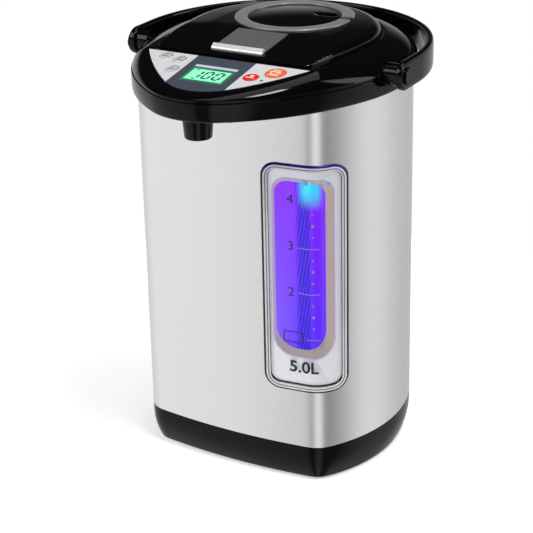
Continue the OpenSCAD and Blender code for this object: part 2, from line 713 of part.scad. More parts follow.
module lid_liner() color("#e8e8e6") difference() {
  union() {
    slab(lid_low(wall + 0.2), lid_z, lid_z + 1.7);
    at([0, vessel_y], ledge_z + 5.5) cylinder(r = plug_r, h = lid_z - ledge_z - 5);
  }
  at([0, vessel_y], ledge_z + 7.5) cylinder(r = plug_r - 2.2, h = 30);
  hook_slot();
  at(vent_c, ledge_z) cylinder(r = steam_r, h = 20);
}

module lid_plate() color("#c8c8c8") difference() {
  at([0, vessel_y], ledge_z + 4.3) cylinder(r = mouth_r - 6, h = 1.2);
  at(vent_c, ledge_z) cylinder(r = 5, h = 20);
}

module lid_gasket() color("#f0f0f0") at([0, vessel_y])
    tube(mouth_r + 3, mouth_r - 6, ledge_z + 2.5 + fit, ledge_z + 5.5);

module steam_tube() color("#dcdcdc") at(vent_c) tube(steam_r, 5, ledge_z + 5.5, top_z - 3);

module lid_trim() color("#9b9da1") difference() {
  at([0, trim_y]) tube(trim_r, trim_r - trim_w, top_z - 1.2, top_z + 1);
  at([0, trim_y], top_z - 2) linear_extrude(5)
    polygon([[0, 0], 80 * [cos(4), sin(4)], 80 * [cos(14), sin(14)]]);
}

module vent_cap() color("#0b0b0d") difference() {
  intersection() {
    at([0, trim_y], top_z - 3) cylinder(r = trim_r - trim_w - 0.4, h = 6);
    at([0, trim_y], top_z + 1.6 - 320) sphere(r = 320, $fn = 240);
  }
  vent_slot(0, top_z - 4, top_z + 4);
}

module lid_pin() color("silver") translate([0, hinge_y, hinge_z]) rotate([0, 90, 0])
      cylinder(r = hinge_pin_r, h = 74, center = true);

module latch_lever() color("#b4b6ba") on_latch() difference() {
  union() {
    box(-latch_w / 2, latch_w / 2, 2, latch_len, -2.2, 0.2);
    box(-latch_w / 2, latch_w / 2, -3, 2.5, -1.6, 3);
    box(-3, 3, 0.5, 2.5, -4.4, -1.5);
    translate([-latch_w / 2, latch_pin_y, latch_pin_z]) rotate([0, 90, 0]) cylinder(r = 2.6, h = latch_w);
  }
  translate([0, latch_pin_y, latch_pin_z]) rotate([0, 90, 0]) cylinder(r = latch_pin_r + run, h = 60, center = true);
  box(-6, 6, latch_pin_y - 3.6, latch_len + 1, -6, -0.3);
}
module latch_pin() color("silver") on_latch() translate([0, latch_pin_y, latch_pin_z]) rotate([0, 90, 0])
      cylinder(r = latch_pin_r, h = latch_w + 5, center = true);
module latch_spring() color("#9c9c9c") on_latch() difference() {
  union() {
    translate([-5, latch_pin_y, latch_pin_z]) rotate([0, 90, 0]) cylinder(r = 1.75, h = 10);
    translate([4.6, latch_pin_y, latch_pin_z - 1.4]) rotate([90, 0, 0]) cylinder(r = 0.35, h = 15, $fn = 24);
  }
  translate([0, latch_pin_y, latch_pin_z]) rotate([0, 90, 0]) cylinder(r = latch_pin_r, h = 20, center = true);
}
module latch_hook() color("#2a2b2e") {
  box(-7, 7, -lid_front + 0.8, -lid_front + 6.8, lid_z - 3.6, lid_z - 0.6);
  box(-5, 5, -lid_front + 2.6, -lid_front + 6.2, lid_z - 1, lid_z + 2.6);
}

// ---- handle --------------------------------------------------------------------------

module handle() color("#0b0b0d") difference() {
  union() {
    slab_u(pivot_z - handle_h / 2, pivot_z + handle_h / 2);
    for (sx = [-1, 1]) translate([sx * (handle_r + handle_t / 2), -pivot_y, pivot_z]) rotate([0, 90, 0])
          cylinder(r = handle_h / 2, h = handle_t, center = true);
  }
  translate([0, -pivot_y, pivot_z]) rotate([0, 90, 0]) cylinder(r = pivot_pin_r + run, h = 300, center = true);
}
module slab_u(z0, z1) {
  difference() {
    translate([0, 0, z0]) cylinder(r = handle_r + handle_t, h = z1 - z0, $fn = 180);
    translate([0, 0, z0 - 1]) cylinder(r = handle_r, h = z1 - z0 + 2, $fn = 180);
    box(-200, 200, -200, 0, z0 - 1, z1 + 1);
  }
  for (sx = [-1, 1]) translate([sx * (handle_r + handle_t / 2) - handle_t / 2, -pivot_y, z0])
      cube([handle_t, pivot_y, z1 - z0]);
}

module handle_pivots() color("#0b0b0d") for (sx = [-1, 1]) translate([0, -pivot_y, pivot_z]) rotate([0, sx * 90, 0]) {
    translate([0, 0, head_r - 6.5]) cylinder(r = 6, h = 4);
    translate([0, 0, head_r - 3.5]) cylinder(r = boss_r, h = handle_r - head_r + 3.1);
    translate([0, 0, handle_r - 1]) cylinder(r = pivot_pin_r, h = handle_t + 1.5);
    translate([0, 0, handle_r + handle_t + 0.4]) cylinder(r = 6.5, h = 1.6);
  }

outer_shell();
base_housing();
bottom_cover();
feet();
bottom_screws();
window_frame();
window_pane();
gauge_plate();
level_tube();
tube_seals();
led_boards();
leds();
collar();
top_cover();
neck_ring();
vessel();
vessel_gasket();
head_screws();
control_panel();
display_lens();
display_module();
control_board();
key_timer();
key_boil();
key_temperature();
key_unlock();
key_dispense();
nozzle();
outlet_pipe();
riser_hose();
suction_hose();
pump_housing();
impeller();
pump_motor();
heater();
thermostats();
power_board();
power_inlet();
inlet_pins();
lid_shell();
lid_liner();
lid_plate();
lid_gasket();
lid_trim();
vent_cap();
steam_tube();
lid_pin();
latch_lever();
latch_pin();
latch_spring();
latch_hook();
handle();
handle_pivots();
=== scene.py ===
"""Electric thermo pot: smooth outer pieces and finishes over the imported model.

Shapes are worked out in millimetres, +Z up, with the beak towards -Y, and turned to
metres when a piece is made.  A plan outline is a run of arcs; most pieces are a profile
carried round an outline.
"""
from math import cos, pi, radians, sin, sqrt, tan

import bmesh
import bpy
import numpy as np
from mathutils import Matrix, Vector
from mathutils.geometry import convex_hull_2d, delaunay_2d_cdt


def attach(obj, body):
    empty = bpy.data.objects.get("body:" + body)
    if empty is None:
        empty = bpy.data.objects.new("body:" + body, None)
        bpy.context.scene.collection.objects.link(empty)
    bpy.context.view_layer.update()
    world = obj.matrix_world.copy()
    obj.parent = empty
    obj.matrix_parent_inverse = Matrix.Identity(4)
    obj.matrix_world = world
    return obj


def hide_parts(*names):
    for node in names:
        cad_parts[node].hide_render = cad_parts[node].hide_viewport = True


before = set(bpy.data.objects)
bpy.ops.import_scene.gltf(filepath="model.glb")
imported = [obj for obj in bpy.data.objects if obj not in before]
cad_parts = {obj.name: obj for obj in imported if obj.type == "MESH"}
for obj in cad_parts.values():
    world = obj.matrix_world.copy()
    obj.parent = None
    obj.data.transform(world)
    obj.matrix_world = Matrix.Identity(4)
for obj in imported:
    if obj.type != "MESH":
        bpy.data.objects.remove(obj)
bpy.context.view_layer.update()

MM = 0.001


# ---- plan outlines ---------------------------------------------------------------------

def meet(c1, d1, c2, d2, side):
    """The point at distance d1 from c1 and d2 from c2; side picks one of the two."""
    v = c2 - c1
    d = np.hypot(*v)
    a = (d1 * d1 - d2 * d2 + d * d) / (2 * d)
    e = v / d
    return c1 + a * e + side * sqrt(d1 * d1 - a * a) * np.array([-e[1], e[0]])


def heading(a, b):
    return np.arctan2(b[1] - a[1], b[0] - a[0])


def dee_arcs(cy, r, sr, sa, fy, fr, cr):
    """Right half of a round-backed outline: bowed front, corner, fuller side, round rear."""
    c = np.array([0.0, cy])
    fc = np.array([0.0, fr - fy])
    sa = radians(sa)
    sc = c - (sr - r) * np.array([cos(sa), sin(sa)])
    kc = meet(fc, fr - cr, sc, sr - cr, 1)
    a1, a2 = heading(fc, kc), heading(sc, kc)
    return [(fc, fr, -pi / 2, a1), (kc, cr, a1, a2), (sc, sr, a2, sa), (c, r, sa, pi / 2)]


def nose_arcs(r, nr, tip, fr):
    """Right half of a beaked outline: round nose, full flank, round rear."""
    o = np.array([0.0, 0.0])
    nc = np.array([0.0, nr - tip])
    sc = meet(o, fr - r, nc, fr - nr, -1)
    a1, a2 = heading(sc, nc), heading(sc, o)
    return [(nc, nr, -pi / 2, a1), (sc, fr, a1, a2), (o, r, a2, pi / 2)]


class Outline:
    """A closed outline from its right half: point(l) runs round it by arc length from the
    front, and g steps outwards along the normal."""

    def __init__(self, arcs):
        p, n = [], []
        for c, r, a0, a1 in arcs:
            a = np.linspace(a0, a1, 500, endpoint=False)
            d = np.column_stack([np.cos(a), np.sin(a)])
            p.append(c + r * d)
            n.append(d)
        c, r = arcs[-1][:2]
        p = np.vstack(p + [[c + [0, r]]])
        n = np.vstack(n + [[[0.0, 1.0]]])
        flip = np.array([-1, 1])
        self.p = np.vstack([p, p[-2:0:-1] * flip, p[:1]])
        self.n = np.vstack([n, n[-2:0:-1] * flip, n[:1]])
        self.l = np.concatenate([[0], np.cumsum(np.hypot(*np.diff(self.p, axis=0).T))])
        self.total = self.l[-1]

    def at(self, l, g=0.0):
        l = np.mod(l, self.total)
        p = np.stack([np.interp(l, self.l, self.p[:, k]) for k in (0, 1)], -1)
        n = np.stack([np.interp(l, self.l, self.n[:, k]) for k in (0, 1)], -1)
        n /= np.linalg.norm(n, axis=-1, keepdims=True)
        return p + np.asarray(g)[..., None] * n

    def reach(self, phi, g=0.0, centre=(0.0, 0.0)):
        """Distance from centre to the outline, grown by g, in the directions phi."""
        q = self.p[:-1] + g * self.n[:-1] - np.array(centre)
        a = np.unwrap(np.arctan2(q[:, 1], q[:, 0]))
        d = np.hypot(q[:, 0], q[:, 1])
        turn = np.mod(phi - a[0], 2 * pi) + a[0]
        return np.interp(turn, np.append(a, a[0] + 2 * pi), np.append(d, d[0]))

    def span(self, x, g=0.0):
        """Front and rear y of the outline, grown by g, on the lines x."""
        q = self.p + g * self.n
        k = len(q) // 2
        right = q[:k + 1]
        m = np.argmax(right[:, 0])
        ax = np.abs(x)
        front = np.interp(ax, right[:m + 1, 0], right[:m + 1, 1])
        rear = np.interp(ax, right[m:, 0][::-1], right[m:, 1][::-1])
        return front, rear


BODY_ARCS = dee_arcs(0, 104, 120, 20, 90, 500, 22)
BODY = Outline(BODY_ARCS)
HEAD = Outline(nose_arcs(107, 54, 146, 170))
LID = Outline(dee_arcs(6, 77, 300, -2, 75.5, 2000, 7))
PANEL = Outline(nose_arcs(98, 42, 133, 220))
LID_FRONT = 75.5
PANEL_REAR = 78.5
DECK_Z = 334.0
SLOPE = radians(9)


def head_reach(phi, g=0.0):
    """Reach of the head's outline, melted into the body's where the body is the wider."""
    a, b = HEAD.reach(phi, g), BODY.reach(phi, 1.2 + g)
    return np.logaddexp(a * 1.6, b * 1.6) / 1.6


def deck_height(y):
    """Height of the control deck: level behind the lid's front edge, sloping down ahead of it."""
    return DECK_Z + np.minimum(y + LID_FRONT, 0) * tan(SLOPE)


def floats(*values):
    """The values as arrays of floats of one common shape."""
    return np.broadcast_arrays(*(np.asarray(v, float) for v in values))


def on_deck(x, y, lift):
    """Places a drawing (x, y), lifted by lift, on the sloping deck."""
    x, y, lift = floats(x, y, lift)
    d = y + LID_FRONT
    return np.stack([x, -LID_FRONT + d * cos(SLOPE) - lift * sin(SLOPE),
                     DECK_Z + d * sin(SLOPE) + lift * cos(SLOPE)], -1)


# ---- meshes ----------------------------------------------------------------------------

def sheet(grid, close_u=False, close_v=False):
    """Points and quads of a grid of points, closed round either way if asked."""
    nu, nv = grid.shape[:2]
    rows, columns = np.arange(nu if close_u else nu - 1), np.arange(nv if close_v else nv - 1)
    i, j = np.meshgrid(rows, columns, indexing="ij")
    i2, j2 = (i + 1) % nu, (j + 1) % nv
    quads = np.stack([i * nv + j, i2 * nv + j, i2 * nv + j2, i * nv + j2], -1)
    return grid.reshape(-1, 3), quads.reshape(-1, 4)


def edge_of(grid):
    """The points along a grid's edge, once round."""
    return np.vstack([grid[:, 0], grid[-1, 1:], grid[-2::-1, -1], grid[0, -2:0:-1]])


def fan(loop, middle):
    """Closes a loop of points with triangles to a middle point."""
    n = len(loop)
    i = np.arange(n)
    return np.vstack([loop, [middle]]), np.stack([i, (i + 1) % n, np.full(n, n)], -1)


def revolve(profile, centre, steps=128):
    """A closed profile of (radius, height) carried round an upright axis."""
    a = np.linspace(0, 2 * pi, steps, endpoint=False)[:, None]
    r, z = np.asarray(profile, float).T
    z = np.broadcast_to(z, (steps, len(z)))
    return sheet(np.stack([centre[0] + r * np.cos(a), centre[1] + r * np.sin(a), z], -1), True, True)


def bar(profile, x0, x1):
    """A closed profile of (y, z) carried along X, with both ends capped."""
    q = np.asarray(profile, float)
    ends = [np.column_stack([np.full(len(q), x), q]) for x in (x0, x1)]
    mid = [[x, *q.mean(0)] for x in (x0, x1)]
    return [sheet(np.stack(ends), False, True), fan(ends[0], mid[0]), fan(ends[1], mid[1])]


def fillet(points, r, n=5):
    """Rounds each corner of a closed polygon with n steps of a parabola of reach r."""
    p = np.asarray(points, float)
    a, b = np.roll(p, 1, 0) - p, np.roll(p, -1, 0) - p
    la, lb = np.linalg.norm(a, axis=1), np.linalg.norm(b, axis=1)
    r = np.minimum(np.broadcast_to(r, len(p)), 0.49 * np.minimum(la, lb))[:, None]
    s, e = p + a / la[:, None] * r, p + b / lb[:, None] * r
    t = np.linspace(0, 1, n)[None, :, None]
    curve = (1 - t) ** 2 * s[:, None] + 2 * t * (1 - t) * p[:, None] + t ** 2 * e[:, None]
    return curve.reshape(-1, 2)


def settle(obj, angle=32):
    """Bakes the modifiers into the mesh, smooths it and keeps edges over the angle sharp."""
    dg = bpy.context.evaluated_depsgraph_get()
    mesh = bpy.data.meshes.new_from_object(obj.evaluated_get(dg))
    obj.modifiers.clear()
    obj.data = mesh
    mesh.polygons.foreach_set("use_smooth", np.ones(len(mesh.polygons), bool))
    mesh.set_sharp_from_angle(angle=radians(angle))


def piece(name, parts, finish, body="pot", stands_for=(), wall=0.0, inside=(0, 0, 200),
          angle=32, marks=None, depth=None):
    """Makes one object from (points, faces) parts, welds it and hangs it on its body.

    wall gives an open sheet a thickness towards the point inside; marks gives each point a
    pair of numbers that the finish reads as the attribute "place", and depth one number that
    it reads as "depth".
    """
    points, faces, base = [], [], 0
    for p, f in parts:
        points.append(p)
        faces += (f + base).tolist()
        base += len(p)
    points = np.vstack(points) * MM
    mesh = bpy.data.meshes.new(name)
    mesh.from_pydata(points.tolist(), [], faces)
    if marks is not None:
        tag = mesh.attributes.new("place", "FLOAT_VECTOR", "POINT")
        tag.data.foreach_set("vector", np.column_stack([marks, np.zeros(len(marks))]).ravel())
    if depth is not None:
        tag = mesh.attributes.new("depth", "FLOAT", "POINT")
        tag.data.foreach_set("value", depth.astype(np.float32))
    bm = bmesh.new()
    bm.from_mesh(mesh)
    bmesh.ops.remove_doubles(bm, verts=bm.verts, dist=2e-6)
    bmesh.ops.dissolve_degenerate(bm, edges=bm.edges, dist=1e-6)
    bmesh.ops.recalc_face_normals(bm, faces=bm.faces)
    if wall:
        ref = Vector(inside) * MM
        if sum(f.normal.dot(f.calc_center_median() - ref) * f.calc_area() for f in bm.faces) < 0:
            bmesh.ops.reverse_faces(bm, faces=bm.faces)
    bm.to_mesh(mesh)
    bm.free()
    obj = bpy.data.objects.new(name, mesh)
    bpy.context.scene.collection.objects.link(obj)
    if wall:
        m = obj.modifiers.new("wall", "SOLIDIFY")
        m.thickness, m.offset = wall * MM, -1
    bpy.context.view_layer.update()
    settle(obj, angle)
    obj.data.materials.clear()
    obj.data.materials.append(finish)
    if stands_for:
        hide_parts(*stands_for)
    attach(obj, body)
    return obj


def lettering(text, size, bold=0.0):
    """Flat points (x, y) and triangles of a word, centred, size mm high, cut fine enough to bend;
    bold thickens the strokes by a share of the letter's size."""
    curve = bpy.data.curves.new("word", "FONT")
    curve.body, curve.size, curve.align_x, curve.align_y = text, 1, "CENTER", "CENTER"
    curve.offset = bold * 0.15
    obj = bpy.data.objects.new("word", curve)
    bpy.context.scene.collection.objects.link(obj)
    bpy.context.view_layer.update()
    mesh = bpy.data.meshes.new_from_object(obj.evaluated_get(bpy.context.evaluated_depsgraph_get()))
    bpy.data.objects.remove(obj)
    bm = bmesh.new()
    bm.from_mesh(mesh)
    bmesh.ops.triangulate(bm, faces=bm.faces)
    bmesh.ops.subdivide_edges(bm, edges=[e for e in bm.edges if e.calc_length() > 0.12], cuts=2)
    bmesh.ops.triangulate(bm, faces=bm.faces)
    p = np.array([v.co[:2] for v in bm.verts])
    f = np.array([[v.index for v in q.verts] for q in bm.faces])
    bm.free()
    return (p - (p.min(0) + p.max(0)) / 2) * size / np.ptp(p[:, 1]), f


def stroke(path, width):
    """A ribbon of the given width along a flat path, as points (x, y) and quads; a path that
    ends where it starts makes a closed ring."""
    p = np.asarray(path, float)
    ring = np.hypot(*(p[0] - p[-1])) < 1e-6
    if ring:
        p = p[:-1]
    d = np.roll(p, -1, 0) - np.roll(p, 1, 0) if ring else np.gradient(p, axis=0)
    d /= np.linalg.norm(d, axis=1, keepdims=True)
    n = np.column_stack([-d[:, 1], d[:, 0]]) * width / 2
    g = np.stack([p + n, p - n], 1)
    v, f = sheet(np.concatenate([g, np.zeros(g.shape[:2] + (1,))], -1), ring)
    return v[:, :2], f


def ring_arc(c, r, a0, a1, n=28):
    a = np.radians(np.linspace(a0, a1, n))
    return np.column_stack([c[0] + r * np.cos(a), c[1] + r * np.sin(a)])


def disc(c, r, n=32):
    a = np.linspace(0, 2 * pi, n, endpoint=False)
    return np.column_stack([c[0] + r * np.cos(a), c[1] + r * np.sin(a)])


# ---- finishes --------------------------------------------------------------------------

def add_node(tree, kind, sockets=None, **props):
    """Adds a node: an input given as an output of another node is linked, any other is a value."""
    n = tree.nodes.new(kind)
    for k, v in props.items():
        setattr(n, k, v)
    for k, v in (sockets or {}).items():
        if isinstance(v, bpy.types.NodeSocket):
            tree.links.new(v, n.inputs[k])
        else:
            n.inputs[k].default_value = v
    return n


class Finish:
    """A material under construction: named helpers over its nodes."""

    def __init__(self, name):
        self.mat = bpy.data.materials.new(name)
        self.mat.use_nodes = True
        self.tree = self.mat.node_tree
        self.tree.nodes.clear()
        self.out = self.tree.nodes.new("ShaderNodeOutputMaterial")

    def node(self, kind, sockets=None, **props):
        return add_node(self.tree, kind, sockets, **props)

    def coords(self, scale=(1, 1, 1), turn=(0, 0, 0)):
        """Object coordinates in millimetres, scaled and turned."""
        t = self.node("ShaderNodeTexCoord")
        m = self.node("ShaderNodeMapping", {"Vector": t.outputs["Object"], "Rotation": turn,
                                            "Scale": tuple(1000 * s for s in scale)})
        return m.outputs[0]

    def noise(self, vector, scale, detail=2.0, rough=0.5):
        return self.node("ShaderNodeTexNoise", {"Vector": vector, "Scale": scale, "Detail": detail,
                                                "Roughness": rough}).outputs["Fac"]

    def span(self, value, lo, hi, a=0.0, b=1.0, kind="LINEAR"):
        return self.node("ShaderNodeMapRange", {"Value": value, "From Min": a, "From Max": b, "To Min": lo,
                                                "To Max": hi}, interpolation_type=kind).outputs[0]

    def math(self, kind, a, b=0.0):
        return self.node("ShaderNodeMath", {0: a, 1: b}, operation=kind).outputs[0]

    def blend(self, fac, a, b):
        return self.node("ShaderNodeMix", {0: fac, 6: a, 7: b}, data_type="RGBA").outputs[2]

    def bump(self, height, strength, distance=0.0002):
        return self.node("ShaderNodeBump", {"Height": height, "Strength": strength,
                                            "Distance": distance}).outputs[0]

    def done(self, shader):
        self.tree.links.new(shader, self.out.inputs["Surface"])
        return self.mat


def rgb(r, g, b):
    return (r, g, b, 1.0)


def plastic(name, colour, rough, grain=0.02, texture=0.04, metal=0.0, cell=0.6, coat=0.0, ior=1.5):
    """Moulded surface: fine mottling in colour and gloss, and a faint moulding texture."""
    f = Finish(name)
    fine = f.noise(f.coords(), 1 / cell, 3.0)
    broad = f.noise(f.coords(), 0.02, 1.0)
    shade = f.span(broad, 1 - 0.08, 1 + 0.08)
    tint = f.node("ShaderNodeVectorMath", {0: colour[:3], "Scale": shade}, operation="SCALE")
    p = f.node("ShaderNodeBsdfPrincipled", {
        "Base Color": tint.outputs[0], "Roughness": f.span(fine, max(rough - grain, 0.02), rough + grain),
        "Metallic": metal, "IOR": ior, "Coat Weight": coat, "Coat Roughness": 0.04,
        "Normal": f.bump(fine, texture)})
    return f.done(p.outputs[0])


def brushed(name, colour, rough, line=0.35, run=40.0, texture=0.1, depth=0.05, spread=0.0):
    """Brushed metal: fine level lines round the piece; spread draws its highlights out upright."""
    f = Finish(name)
    lines = f.noise(f.coords((1 / run, 1 / run, 1 / line)), 1.0, 4.0, 0.65)
    cloud = f.noise(f.coords((1 / 60, 1 / 60, 1 / 25)), 1.0, 2.0)
    c = f.blend(f.math("MULTIPLY", f.math("ADD", lines, cloud), 0.5),
                rgb(*(v * (1 - depth) for v in colour)), rgb(*(min(v * (1 + depth), 1) for v in colour)))
    p = f.node("ShaderNodeBsdfPrincipled", {
        "Base Color": c, "Metallic": 1.0, "Roughness": f.span(lines, rough - 0.06, rough + 0.06),
        "Normal": f.bump(lines, texture, 0.00005), "Anisotropic": spread})
    if spread:
        t = f.node("ShaderNodeTangent", direction_type="RADIAL", axis="Z")
        f.tree.links.new(t.outputs[0], p.inputs["Tangent"])
    return f.done(p.outputs[0])


def clear(name, colour, edge=0.5, rough=0.03, gloss=1.0):
    """Thin clear plastic: see-through face on, glossier and tinted at a slant; gloss is the
    share of the full shine."""
    f = Finish(name)
    w = f.node("ShaderNodeLayerWeight", {"Blend": edge})
    haze = f.span(f.noise(f.coords(), 0.3, 2.0), 0.9 * gloss, 1.1 * gloss)
    a = f.node("ShaderNodeBsdfTransparent", {"Color": colour})
    b = f.node("ShaderNodeBsdfGlossy", {"Color": rgb(0.9, 0.92, 0.95), "Roughness": rough})
    share = f.math("MULTIPLY", w.outputs["Fresnel"], haze)
    m = f.node("ShaderNodeMixShader", {0: share, 1: a.outputs[0], 2: b.outputs[0]})
    return f.done(m.outputs[0])


BLACK = plastic("black_gloss_plastic", (0.002, 0.002, 0.0024), 0.08, 0.015, 0.01, cell=1.5, ior=1.27)
BASE_BLACK = plastic("base_black_plastic", (0.002, 0.002, 0.0023), 0.15, 0.03, 0.02, cell=0.8, ior=1.24)
COVER_BLACK = plastic("underside_black_plastic", (0.02, 0.02, 0.022), 0.5, 0.06, 0.2)
RUBBER = plastic("foot_rubber", (0.025, 0.025, 0.027), 0.75, 0.08, 0.35, cell=0.4)
STEEL = brushed("brushed_body_steel", (0.80, 0.80, 0.805), 0.27, line=0.28, run=90, texture=0.022,
                depth=0.025, spread=0.85)
BRIGHT = brushed("bright_screw_steel", (0.7, 0.7, 0.71), 0.22, run=6)
INNER = brushed("spun_vessel_steel", (0.68, 0.68, 0.68), 0.26, line=0.5)
WHITE = plastic("white_inner_plastic", (0.78, 0.78, 0.76), 0.42, 0.05, 0.1)
SILICONE = plastic("silicone_rubber", (0.74, 0.74, 0.72), 0.6, 0.06, 0.15)
BOARD = plastic("circuit_board_lacquer", (0.02, 0.16, 0.06), 0.35, 0.08, 0.15, cell=1.2)
LAMP_BOARD = plastic("white_lamp_board", (0.62, 0.66, 0.74), 0.4, 0.05, 0.08)
DARK = plastic("dark_engineering_plastic", (0.03, 0.03, 0.033), 0.42, 0.06, 0.15)
ALUMINIUM = plastic("cast_aluminium", (0.6, 0.6, 0.61), 0.42, 0.08, 0.3, metal=1.0, cell=0.9)
BRASS = plastic("turned_brass", (0.72, 0.52, 0.22), 0.3, 0.06, 0.1, metal=1.0)
MOTOR = plastic("plated_motor_steel", (0.5, 0.51, 0.53), 0.34, 0.06, 0.12, metal=1.0)
HOSE = plastic("milky_hose", (0.7, 0.7, 0.68), 0.45, 0.06, 0.1)
TRIM = plastic("satin_grey_trim", (0.27, 0.27, 0.28), 0.24, 0.03, 0.02, metal=0.35, cell=0.25)
LEVER = plastic("satin_lever_metal", (0.15, 0.15, 0.155), 0.3, 0.03, 0.02, metal=0.3, cell=0.25)
BRIGHT_EDGE = plastic("bright_lever_lip", (0.80, 0.80, 0.81), 0.25, 0.03, 0.02, metal=0.3, cell=0.25)
SILVER_KEY = plastic("silver_key_paint", (0.76, 0.765, 0.78), 0.3, 0.05, 0.1, metal=0.35, cell=0.3)
RED = plastic("red_key_plastic", (0.72, 0.022, 0.012), 0.24, 0.03, 0.05, cell=0.5)
ORANGE = plastic("orange_key_plastic", (0.86, 0.14, 0.025), 0.26, 0.03, 0.05, cell=0.5)
WHITE_INK = plastic("white_ink", (0.85, 0.83, 0.8), 0.5, 0.05, 0.1, cell=0.2)
GREY_INK = plastic("grey_ink", (0.12, 0.12, 0.13), 0.5, 0.05, 0.1, cell=0.2)
BLACK_INK = plastic("black_ink", (0.012, 0.012, 0.016), 0.45, 0.05, 0.1, cell=0.2)
TICK_INK = plastic("lilac_grey_ink", (0.30, 0.29, 0.34), 0.5, 0.05, 0.1, cell=0.2)
LCD_INK = plastic("dark_liquid_crystal", (0.015, 0.06, 0.035), 0.4, 0.03, 0.05, cell=0.2)
GREY_PCB = plastic("display_module_case", (0.03, 0.05, 0.04), 0.4, 0.05, 0.1)
PANE = clear("clear_window", rgb(0.98, 0.98, 1.0), 0.1)
TUBE = clear("clear_level_tube", rgb(0.97, 0.96, 1.0), 0.06, gloss=0.25)


def lamp_finish():
    """A lit lamp: milky resin that glows blue-white, a little unevenly."""
    f = Finish("lit_lamp")
    haze = f.noise(f.coords(), 0.5, 2.0)
    p = f.node("ShaderNodeBsdfPrincipled", {
        "Base Color": rgb(0.25, 0.4, 0.7), "Roughness": f.span(haze, 0.2, 0.3), "Emission Strength": 0.25,
        "Emission Color": f.blend(haze, rgb(0.15, 0.55, 1.0), rgb(0.25, 0.7, 1.0))})
    return f.done(p.outputs[0])


def panel_finish():
    """Silver-painted face with a slate band down its middle and a pale strip above the display."""
    f = Finish("control_panel_face")
    x, y, _ = f.node("ShaderNodeSeparateXYZ", {0: f.coords()}).outputs
    grain = f.noise(f.coords(), 2.2, 2.0)
    ax = f.math("ABSOLUTE", x)
    band = f.span(ax, 1, 0, 24.4, 24.8)
    silver = f.blend(grain, rgb(0.74, 0.745, 0.76), rgb(0.82, 0.825, 0.84))
    slate = f.blend(grain, rgb(0.060, 0.070, 0.100), rgb(0.078, 0.090, 0.125))
    strip = f.math("MULTIPLY", f.span(ax, 1, 0, 17.6, 18.0),
                   f.math("MULTIPLY", f.span(y, 1, 0, -92.0, -91.6), f.span(y, 0, 1, -95.6, -95.2)))
    c = f.blend(strip, f.blend(band, silver, slate), rgb(0.66, 0.72, 0.82))
    p = f.node("ShaderNodeBsdfPrincipled", {"Base Color": c, "Roughness": f.span(grain, 0.3, 0.4),
                                            "Metallic": 0.2, "Normal": f.bump(grain, 0.05)})
    return f.done(p.outputs[0])


def display_finish():
    """Backlit display: mint field, brighter in the middle, with a dark green surround."""
    f = Finish("backlit_display")
    x, y, _ = f.node("ShaderNodeSeparateXYZ", {0: f.coords()}).outputs
    ax = f.math("ABSOLUTE", x)
    field = f.math("MULTIPLY", f.span(ax, 1, 0, 15.4, 15.7),
                   f.math("MULTIPLY", f.span(y, 1, 0, -98.5, -98.2), f.span(y, 0, 1, -115.6, -115.3)))
    glow = f.noise(f.coords(), 0.12, 1.0)
    c = f.blend(field, rgb(0.03, 0.17, 0.07), f.blend(glow, rgb(0.20, 0.74, 0.43), rgb(0.29, 0.88, 0.56)))
    p = f.node("ShaderNodeBsdfPrincipled", {"Base Color": c, "Roughness": f.span(glow, 0.14, 0.2),
                                            "Emission Color": c, "Emission Strength": 0.35})
    return f.done(p.outputs[0])


def place_of(f):
    """The two numbers of the attribute "place"."""
    a = f.node("ShaderNodeAttribute", attribute_name="place")
    return f.node("ShaderNodeSeparateXYZ", {0: a.outputs["Vector"]}).outputs


